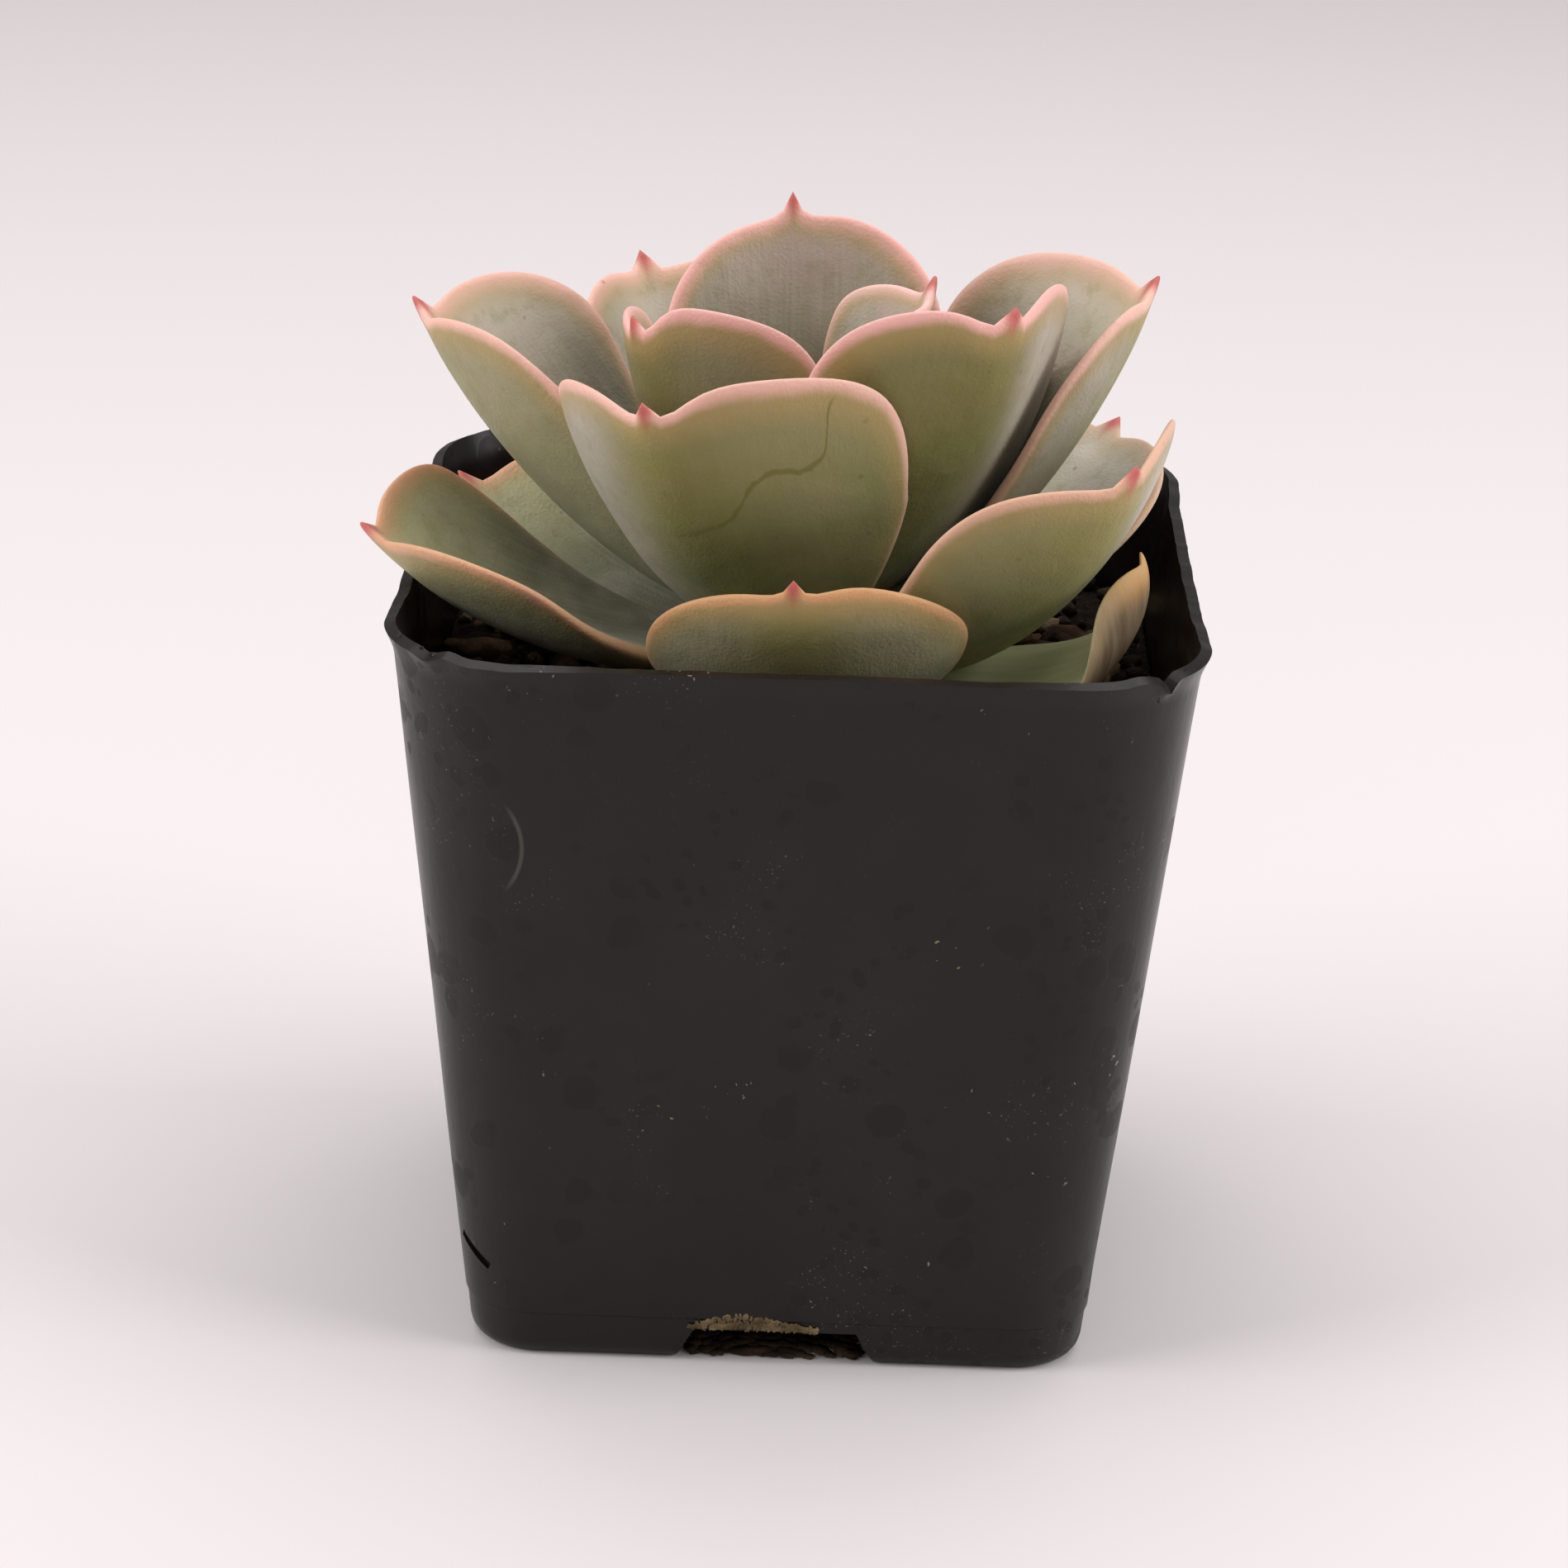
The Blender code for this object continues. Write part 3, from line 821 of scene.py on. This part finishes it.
# %% Measurements of a leaf
class Leaf:
    """Millimetres and degrees. Pairs give the right half first, looking out from the stem."""

    def __init__(self, turn, foot, rise, length, width, **more):
        self.turn = turn  # about the stem: 0 points at -Y, 90 at +X
        self.foot = foot  # height of the leaf's foot
        self.rise = rise  # slope of the midrib at the foot and at the tip
        self.length = length
        self.width = width
        self.bow = 1.0  # under 1 the midrib turns upwards early, over 1 late
        self.reach = 2.5  # distance of the foot from the stem's axis
        self.cup = (45, 45)  # how far each half curls up
        self.foot_cup = 0.75  # share of that curl which the foot already has
        self.cup_rise = 0.5  # share of the length after which it is fully curled
        self.cup_bow = 1.0  # over 1 it curls late
        self.halves = (1, 1)  # width of each half
        self.keel = 20  # slope of the fold along the midrib, at the tip
        self.lean = 0  # turn of the blade about its midrib, at the tip
        self.shoulder = 0.8  # under 1 the outline has square shoulders
        self.wedge = (0.5, 0.5)  # how much narrower the foot end of each half is
        self.thickness = 2.4
        self.wave = 0.25  # how far the margin wanders up and down
        self.point = 1.9  # length of the hard point
        self.lobes = (0.8, 0.8)  # how far each half rises past the foot of the hard point
        self.lobe_reach = 3.0  # how far to the side the lobes are fully risen
        for name, value in more.items():
            setattr(self, name, value)


# %% The leaves of the rosette
LEAVES = {
    "bud_leaf_right": Leaf(100, 53.0, (60, 75), 18.2, 15.0, reach=1.2, cup=(42, 42), lobes=(0.4, 0.4)),
    "bud_leaf_left": Leaf(-62, 52.0, (68, 80), 13.5, 9.0, reach=1.8, cup=(40, 40)),
    "bud_leaf_front": Leaf(4, 52.5, (72, 86), 12.5, 6.5, reach=2.6, cup=(35, 35)),
    "inner_leaf_front": Leaf(
        -52, 49.0, (45, 70), 23.6, 23.0,
        bow=0.7, cup=(55, 55), halves=(0.88, 0.95), shoulder=0.95, lobes=(0.8, 3.2), lobe_reach=2.2,
    ),
    "inner_leaf_back": Leaf(
        -172, 49.5, (55, 80), 25.2, 22.0,
        bow=0.7, reach=2, cup=(38, 38), halves=(0.98, 0.9), keel=8, shoulder=1, lobes=(0.9, 0.1),
    ),
    "inner_leaf_right": Leaf(
        45, 48.5, (35, 70), 28.7, 29.0,
        bow=0.7, cup=(47, 24), halves=(0.76, 1.13), lean=-3, wedge=(0.5, -0.35), lobes=(1.8, 2.2),
    ),
    "inner_leaf_hidden": Leaf(140, 47.6, (55, 68), 16.0, 8.0, bow=0.7, reach=5.2, cup=(35, 35)),
    "middle_leaf_left": Leaf(
        -93, 48.0, (5, 57), 31.0, 26.0,
        bow=0.5, reach=3, cup=(46, 62), halves=(0.94, 0.85),
    ),
    "middle_leaf_front": Leaf(
        -28, 46.0, (27, 60), 28.4, 30.0,
        bow=0.65, cup=(38, 48), halves=(0.8, 0.96), lean=3, shoulder=1, wedge=(0.62, 0.62),
        lobes=(1.2, 2.8),
    ),
    "middle_leaf_back": Leaf(
        -150, 46.4, (14, 60), 29.6, 23.0,
        bow=0.65, reach=2.8, cup=(45, 30), halves=(1, 0.72),
    ),
    "middle_leaf_right": Leaf(95, 46.8, (10, 66), 32.0, 27.0, bow=0.45, cup=(50, 50), halves=(0.6, 1)),
    "low_leaf_left": Leaf(
        -69, 45.5, (-4, 43), 30.4, 24.0,
        cup=(36, 22), halves=(0.85, 0.92), lean=-6, wedge=(0.8, 0.8),
    ),
    "low_leaf_front": Leaf(
        -1, 43.8, (-5, 75), 26.4, 22.2,
        bow=1.2, cup=(32, 32), halves=(0.92, 1.1), keel=4, shoulder=1, point=1.4, lobes=(0.5, 1.4),
    ),
    "low_leaf_right": Leaf(
        50, 44.8, (2, 66), 32.4, 28.0,
        bow=0.9, cup=(46, 14), halves=(0.74, 1.20), wedge=(0.6, 0.3), lobes=(0.2, 2.0),
    ),
    "low_leaf_back_right": Leaf(127, 45.7, (3, 43), 27.2, 19.0, cup=(8, 40), halves=(1.38, 1), lean=5),
    "low_leaf_back": Leaf(-174, 44.4, (0, 45), 25.0, 18.0, cup=(35, 35)),
    "low_leaf_back_left": Leaf(-118, 44.0, (-8, 42), 26.5, 21.0, cup=(45, 30)),
    "withered_leaf": Leaf(
        63.5, 44.4, (4, 105), 29.0, 15.5,
        bow=3.3, cup=(90, 25), halves=(1.2, 0.5), foot_cup=0, cup_rise=1, cup_bow=7, keel=0, lean=24,
        thickness=1.6, point=0.8,
    ),
}
print(len(LEAVES), "leaves")


# %% The formula
POINT_WIDTH = 0.6  # how fast the hard point narrows to each side
KEEL_ROUNDING = 1.0  # over what width the fold along the midrib is rounded
MIDRIB_SHARES = np.linspace(-0.05, 1.15, 241)


def outline(leaf, angle):
    """How far the leaf's edge lies to the side, at this angle round from its tip, before it is sized."""
    side = np.sign(np.sin(angle)) * np.abs(np.sin(angle)) ** leaf.shoulder
    wedge = np.where(side > 0, leaf.wedge[1], leaf.wedge[0])
    return side * (1 - wedge * ((1 - np.cos(angle)) / 2) ** 1.2)


def midrib(leaf):
    """Share of the midrib's length, and the distance out, height and slope there."""
    share = MIDRIB_SHARES
    foot, tip = np.radians(leaf.rise)
    slope = foot + (tip - foot) * np.clip(share, 0, None) ** leaf.bow
    step = (share[1] - share[0]) * leaf.length
    middle = (slope[1:] + slope[:-1]) / 2
    out = np.concatenate([[0], np.cumsum(np.cos(middle) * step)])
    up = np.concatenate([[0], np.cumsum(np.sin(middle) * step)])
    return share, out - np.interp(0, share, out), up - np.interp(0, share, up), slope


def leaf_points(leaf, ball, seed):
    """Where the points of a unit ball go on the leaf, in millimetres, and where on the blade each lies.

    The ball's X runs across the leaf, Y from foot to tip, and Z from the outer face to the hollow one.
    """
    across, along, through = ball.T
    ring = np.minimum(np.hypot(across, along), 1)
    angle = np.arctan2(across, along)
    rounds = np.radians(np.arange(181))
    widest = np.where(angle > 0, outline(leaf, rounds).max(), -outline(leaf, -rounds).min())
    side = leaf.width / 2 * outline(leaf, angle) / widest * ring
    side = side * np.where(side > 0, leaf.halves[1], leaf.halves[0])
    far = leaf.length / 2 * (1 + np.cos(angle) * ring)
    hard_point = np.exp(-np.abs(side) / POINT_WIDTH) * ring**10 * (np.cos(angle) > 0)
    lobe = np.where(side > 0, leaf.lobes[1], leaf.lobes[0])
    lobe = lobe * (1 - np.exp(-((side / leaf.lobe_reach) ** 2)))
    far = far + leaf.point * hard_point + lobe * ring**4 * np.clip(np.cos(angle), 0, 1) ** 0.5
    share = far / leaf.length

    # The blade curls up on each side of the midrib, folds along it, and its margin wanders
    curl = np.radians(np.where(side > 0, leaf.cup[1], leaf.cup[0])) / (leaf.width / 2)
    risen = np.clip(share / leaf.cup_rise, 0.02, 1) ** leaf.cup_bow
    curl = curl * (leaf.foot_cup + (1 - leaf.foot_cup) * risen)
    keel = math.tan(math.radians(leaf.keel)) * np.clip(share, 0, 1.1)
    round_keel = np.hypot(side, KEEL_ROUNDING)
    outward = np.sin(curl * side) / curl
    upward = (1 - np.cos(curl * side)) / curl + keel * (round_keel - KEEL_ROUNDING)
    draw = random.Random(seed)
    for waves in (3, 5, 8):
        phase = draw.uniform(0, 2 * math.pi)
        upward = upward + leaf.wave / waves * 3 * ring**6 * np.sin(waves * angle + phase) * np.sin(angle) ** 2
    tilt = curl * side + np.arctan(keel * side / round_keel)
    skin = np.sign(through) * np.abs(through) ** 0.75 * leaf.thickness / 2
    skin = skin * (1.1 - 0.35 * np.clip(share, 0, 1))
    outward = outward - np.sin(tilt) * skin
    upward = upward + np.cos(tilt) * skin

    # The blade is carried along the midrib
    shares, *columns = midrib(leaf)
    distance, height, slope = (np.interp(share, shares, column) for column in columns)
    turn = math.radians(leaf.turn)
    lean = (math.radians(leaf.lean) * np.clip(share, 0, 1.2))[:, None]
    ahead = np.array([math.sin(turn), -math.cos(turn), 0])
    level = np.array([math.cos(turn), math.sin(turn), 0])
    raised = np.array([0, 0, 1])
    normal = -np.sin(slope)[:, None] * ahead + np.cos(slope)[:, None] * raised
    sideways = level * np.cos(lean) + normal * np.sin(lean)
    normal = normal * np.cos(lean) - level * np.sin(lean)
    spine = ahead * (leaf.reach + distance)[:, None] + raised * (leaf.foot + height)[:, None]
    points = spine + sideways * outward[:, None] + normal * upward[:, None]
    blade = np.stack([side / (leaf.width / 2), share, through], 1)
    return points, blade, ring, hard_point


# %% [markdown]
# ## From ball to leaf
#
# A cube cut into small faces and pushed out to a ball has no poles, so its faces stay even along the margin.
# What the formula knows of each point is kept on the mesh for the finish: where it lies on the blade, how
# near the margin, and how near the hard point.


# %% Make a leaf
LEAF_FACES = 30


def make_leaf(name, leaf, seed):
    """A leaf's blade as one closed mesh, with what the finish needs kept on its points."""
    deselect_everything()
    bpy.ops.mesh.primitive_cube_add(size=2, location=(0, 0, 0))
    piece = named(name + "_blade")
    bpy.ops.object.mode_set(mode="EDIT")
    bpy.ops.mesh.subdivide(number_cuts=LEAF_FACES - 1)
    bpy.ops.object.mode_set(mode="OBJECT")
    ball = np.tan(points_of(piece) * math.pi / 4)
    ball /= np.linalg.norm(ball, axis=1)[:, None]
    points, blade, ring, hard_point = leaf_points(leaf, ball, seed)
    move_points(piece, points * MM)
    piece.data.flip_normals()
    place = piece.data.attributes.new("blade", "FLOAT_VECTOR", "POINT")
    place.data.foreach_set("vector", blade.ravel())
    for attribute, values in (("margin", ring), ("hard_point", hard_point)):
        layer = piece.data.attributes.new(attribute, "FLOAT", "POINT")
        layer.data.foreach_set("value", values)
    shade_smooth(piece)
    return piece


# %% [markdown]
# ## The skin of a leaf
#
# The skin is sage green under a dull grey bloom, which lies thickest in the hollow of the leaf and on some
# halves of the outer face; on those halves the grey is partly painted light, from the side lamps. Towards the
# margin it turns olive, then orange and pink, and the hard point is red. The blush is strongest on the young
# leaves, and the low ones are greener. Painted shade darkens the hollow face towards its foot, and the leaves
# deep in the rosette. All this follows the form of the leaf, so the finish reads the attributes that the
# formula kept, and stays in place however a leaf is turned. Light passes a little way into the flesh, which
# makes the thin margin glow. The leaves have small brown specks, and one has a long scar.


# %% Leaf finish
SAGE_FOOT = (0.155, 0.175, 0.038)
SAGE_TIP = (0.265, 0.262, 0.072)
SAGE_CLOUD = (0.30, 0.285, 0.10)
OLIVE = (0.33, 0.26, 0.085)
PAINTED_SHADE_COLOUR = (0.05, 0.05, 0.018)
BLOOM_AND_LIT_GREY = (0.50, 0.45, 0.38)
HOLLOW_FOOT_PAINTED_SHADE = (0.175, 0.17, 0.115)
HOLLOW_CLOUD = (0.44, 0.42, 0.29)
PALE_STREAK = (0.54, 0.50, 0.42)
GREEN_MOTTLE = (0.26, 0.24, 0.10)
ORANGE_BLUSH = (0.46, 0.31, 0.12)
POINT_RED = (0.52, 0.12, 0.10)
SPECK_BROWN = (0.16, 0.10, 0.04)
SCAR_GREEN = (0.16, 0.15, 0.025)


def leaf_finish(name, blush, olive, edge, flesh, painted_shade, side_bloom_and_light, scar=None):
    """A leaf's skin. Painted shade per face, outer first; bloom and painted light per half, right first."""
    skin = Finish(name, roughness=0.55)
    blade = skin.attribute("blade", "Vector")
    parts = skin.tree.nodes.new("ShaderNodeSeparateXYZ")
    skin.put(parts.inputs[0], blade)
    across, share, through = parts.outputs
    margin = skin.attribute("margin")
    hollow = skin.ramp(through, -0.25, 0.25)

    cloud = skin.noise(170, 3, 0.5)
    mottle = skin.noise(700, 4, 0.6)
    streaks = skin.noise(1, 3, 0.55, place=skin.stretched((38, 3.2, 2), place=blade))

    outer = skin.mix(skin.ramp(share, 0.15, 0.95), SAGE_FOOT, SAGE_TIP)
    outer = skin.mix(skin.ramp(cloud, 0.35, 0.7), outer, SAGE_CLOUD)
    outer = skin.mix(skin.ramp(share, 0.5, 1.0, 0, olive), outer, OLIVE)
    # Painted shade: the outer face is darkened towards deep green, most on the inner leaves
    outer = skin.mix(painted_shade[0], outer, PAINTED_SHADE_COLOUR)
    # Grey on the halves turned to the side lamps: partly bloom, partly painted light
    bloom_and_light_share = skin.ramp(across, -0.03, -0.5, 0, side_bloom_and_light[0])
    bloom_and_light_share = skin.math("ADD", bloom_and_light_share, skin.ramp(across, 0.03, 0.5, 0, side_bloom_and_light[1]))
    outer = skin.mix(skin.math("MINIMUM", bloom_and_light_share, 1.0), outer, BLOOM_AND_LIT_GREY)
    # The hollow face is darker towards its foot: painted shade from the leaves over it
    inner = skin.mix(skin.ramp(share, 0.42, 1.08), HOLLOW_FOOT_PAINTED_SHADE, flesh)
    inner = skin.mix(skin.ramp(cloud, 0.4, 0.7, 0, 0.6), inner, HOLLOW_CLOUD)
    # Painted shade on the hollow face as well
    inner = skin.mix(painted_shade[1], inner, PAINTED_SHADE_COLOUR)
    colour = skin.mix(hollow, outer, inner)
    lines = skin.times(skin.ramp(streaks, 0.35, 0.75), skin.ramp(hollow, 0, 1, 0.04, 0.2))
    colour = skin.mix(lines, colour, PALE_STREAK)
    colour = skin.mix(skin.ramp(mottle, 0.48, 0.76, 0, 0.42), colour, GREEN_MOTTLE)

    # Towards the tip the blush reaches further in from the margin
    wander = skin.times(skin.math("SUBTRACT", skin.noise(260, 3), 0.5), 0.045)
    at_margin = skin.math("ADD", margin, wander)
    tipwards = skin.ramp(share, 0.1, 0.9, 0.3, 1.0)
    warm = skin.times(skin.ramp(at_margin, 0.82, 0.975), skin.times(tipwards, 0.75 * blush))
    colour = skin.mix(warm, colour, ORANGE_BLUSH)
    band = skin.times(skin.ramp(at_margin, 0.9, 0.99), skin.times(hollow, 0.7))
    band = skin.math("MAXIMUM", band, skin.ramp(at_margin, 0.945, 0.992))
    pink = skin.times(band, skin.times(tipwards, blush))
    colour = skin.mix(skin.math("MINIMUM", pink, 1.0), colour, edge)
    tip = skin.ramp(skin.attribute("hard_point"), 0.3, 0.8)
    colour = skin.mix(tip, colour, POINT_RED)

    specks = skin.times(skin.ramp(skin.cells(420), 0.12, 0.05), skin.ramp(skin.noise(120, 2), 0.5, 0.6))
    colour = skin.mix(skin.times(specks, 0.45), colour, SPECK_BROWN)
    pores = skin.noise(4200, 2, 0.5)
    surface = skin.bump(pores, 0.4, 0.00014)
    surface = skin.bump(streaks, 0.03, 0.0005, under=surface)
    surface = skin.bump(skin.noise(230, 2), 0.25, 0.0012, under=surface)
    if scar:
        colour, surface = scar(skin, colour, surface, across, share)
    rough = skin.ramp(mottle, 0.3, 0.8, 0.46, 0.62)
    skin.set(
        Base_Color=colour,
        Roughness=rough,
        Normal=surface,
        Subsurface_Weight=0.22,
        Subsurface_Scale=0.0012,
        Subsurface_Radius=(1.0, 0.55, 0.28),
        Sheen_Weight=0.12,
        Sheen_Roughness=0.5,
        Specular_IOR_Level=0.35,
    )
    return skin.material


# Where the scar runs: how far across the blade, from its right margin, and how far from foot to tip
SCAR_COURSE = (
    (0, 0), (0.4, 0.62), (0.47, 0.64), (0.55, 0.67), (0.61, 0.70), (0.69, 0.80), (0.80, 0.785), (0.85, 0.93)
)


def squiggle(skin, colour, surface, across, share):
    """An old scar that wanders over the outer face of the front leaf."""
    curve = skin.tree.nodes.new("ShaderNodeFloatCurve")
    line = curve.mapping.curves[0]
    for at, height in SCAR_COURSE:
        line.points.new(at, height)
    line.points[-1].location = (1, 1)
    curve.mapping.update()
    place = skin.ramp(across, -1, 1, 0, 1, smooth=False)
    skin.put(curve.inputs["Value"], place)
    wobble = skin.times(skin.math("SUBTRACT", skin.noise(900, 3), 0.5), 0.03)
    along = skin.math("ADD", share, wobble)
    away = skin.math("ABSOLUTE", skin.math("SUBTRACT", along, curve.outputs["Value"]))
    mark = skin.ramp(away, 0.013, 0.003)
    ends = skin.times(skin.ramp(place, 0.43, 0.57), skin.ramp(place, 0.865, 0.84))
    mark = skin.times(mark, ends)
    colour = skin.mix(skin.times(mark, 0.75), colour, SCAR_GREEN)
    return colour, skin.bump(mark, -0.3, 0.0004, under=surface)


# %% [markdown]
# ## All the leaves
#
# Leaves of one age look alike, but some get more light than others. One finish for all would look flat, and
# one for each would be long, so each age has a row of values, and a leaf that stands out has its own.
# The shade in each row is painted shade: deepest on the inner leaves, and none on the low ones.

# %% All leaves
# The blush, the olive, the margin's colour, the hollow face's colour at the tip, and the painted shade
BLUSH = {
    "bud": (1.1, 0.3, (0.88, 0.54, 0.50), (0.54, 0.41, 0.35), (0.05, 0.05)),
    "inner": (1.0, 0.65, (0.88, 0.47, 0.43), (0.66, 0.51, 0.44), (0.33, 0.3)),
    "middle": (0.95, 0.55, (0.87, 0.50, 0.42), (0.62, 0.52, 0.42), (0.17, 0.08)),
    "middle_leaf_right": (0.95, 0.45, (0.87, 0.52, 0.44), (0.62, 0.53, 0.42), (0.05, 0.0)),
    "low": (0.85, 0.6, (0.74, 0.38, 0.23), (0.53, 0.53, 0.29), (0.0, 0.0)),
    "low_leaf_right": (0.85, 0.6, (0.80, 0.46, 0.34), (0.53, 0.53, 0.29), (0.0, 0.0)),
    "low_leaf_front": (1.3, 0.5, (0.66, 0.35, 0.16), (0.44, 0.44, 0.25), (0.0, 0.0)),
    "low_leaf_back_right": (0.6, 0.3, (0.72, 0.46, 0.34), (0.64, 0.57, 0.49), (0.0, 0.0)),
}
# How thick the grey lies on the right and the left half of the outer face: partly bloom, partly painted light
USUAL_BLOOM_AND_SIDE_LIGHT = (0.3, 0.3)
BLOOM_AND_SIDE_LIGHT = {
    "inner_leaf_right": (0.0, 1.5),
    "low_leaf_right": (0.1, 1.0),
    "low_leaf_front": (0.35, 0.3),
    "middle_leaf_front": (0.9, 0.1),
    "middle_leaf_right": (0.9, 0.3),
    "middle_leaf_left": (0.2, 0.3),
    "low_leaf_left": (0.3, 0.1),
}
for seed, (name, leaf) in enumerate(LEAVES.items()):
    if name == "withered_leaf":
        continue
    finish = leaf_finish(
        name + " skin",
        *BLUSH[name if name in BLUSH else name.split("_")[0]],
        side_bloom_and_light=BLOOM_AND_SIDE_LIGHT.get(name, USUAL_BLOOM_AND_SIDE_LIGHT),
        scar=squiggle if name == "middle_leaf_front" else None,
    )
    finish_piece(make_leaf(name, leaf, seed), finish, "leaf", name)


# %% [markdown]
# ## The withered leaf
#
# One leaf at the front right is dying. It lies on the mix, and its far end has dried and turned up. A cloth
# simulation could crumple it, but not fold it in the right place, so it is made by the same formula, with a
# curl that comes late and more on one side. It is brown outside and green in its hollow; that green is
# painted paler than its own, as painted light on a hollow that lies in shade.


# %% The withered leaf
DRY_BROWN = ((0.12, 0.08, 0.043), (0.21, 0.15, 0.09))
# The hollow's pale green is partly painted light, brighter than the leaf's own green
PALE_GREEN_AND_PAINTED_LIGHT = ((0.64, 0.68, 0.37), (0.76, 0.76, 0.48))
ORANGE_END = (0.66, 0.32, 0.08)
TAN_MARGIN = (0.50, 0.36, 0.2)
WITHERED_SEED = 40


def withered_finish():
    """Brown outside, pale green with painted light inside, streaked along its length, with an orange end."""
    skin = Finish("withered leaf skin", roughness=0.7)
    blade = skin.attribute("blade", "Vector")
    parts = skin.tree.nodes.new("ShaderNodeSeparateXYZ")
    skin.put(parts.inputs[0], blade)
    _, share, through = parts.outputs
    streaks = skin.noise(1, 4, 0.6, place=skin.stretched((12, 3, 2), place=blade))
    hollow = skin.ramp(through, -0.2, 0.2)
    dry = skin.mix(skin.ramp(streaks, 0.3, 0.7), *DRY_BROWN)
    fresh_and_painted_light = skin.mix(skin.ramp(streaks, 0.3, 0.7), *PALE_GREEN_AND_PAINTED_LIGHT)
    colour = skin.mix(hollow, dry, fresh_and_painted_light)
    colour = skin.mix(skin.ramp(share, 0.92, 1.03), colour, ORANGE_END)
    at_margin = skin.times(skin.ramp(skin.attribute("margin"), 0.9, 1.0), 0.6)
    colour = skin.mix(at_margin, colour, TAN_MARGIN)
    surface = skin.bump(streaks, 0.2, 0.0006)
    skin.set(Base_Color=colour, Normal=surface, Specular_IOR_Level=0.2, Subsurface_Weight=0.1)
    skin.set(Subsurface_Scale=0.001, Subsurface_Radius=(1.0, 0.6, 0.3))
    return skin.material


withered = make_leaf("withered_leaf", LEAVES["withered_leaf"], WITHERED_SEED)
finish_piece(withered, withered_finish(), "withered_leaf", "withered_leaf")
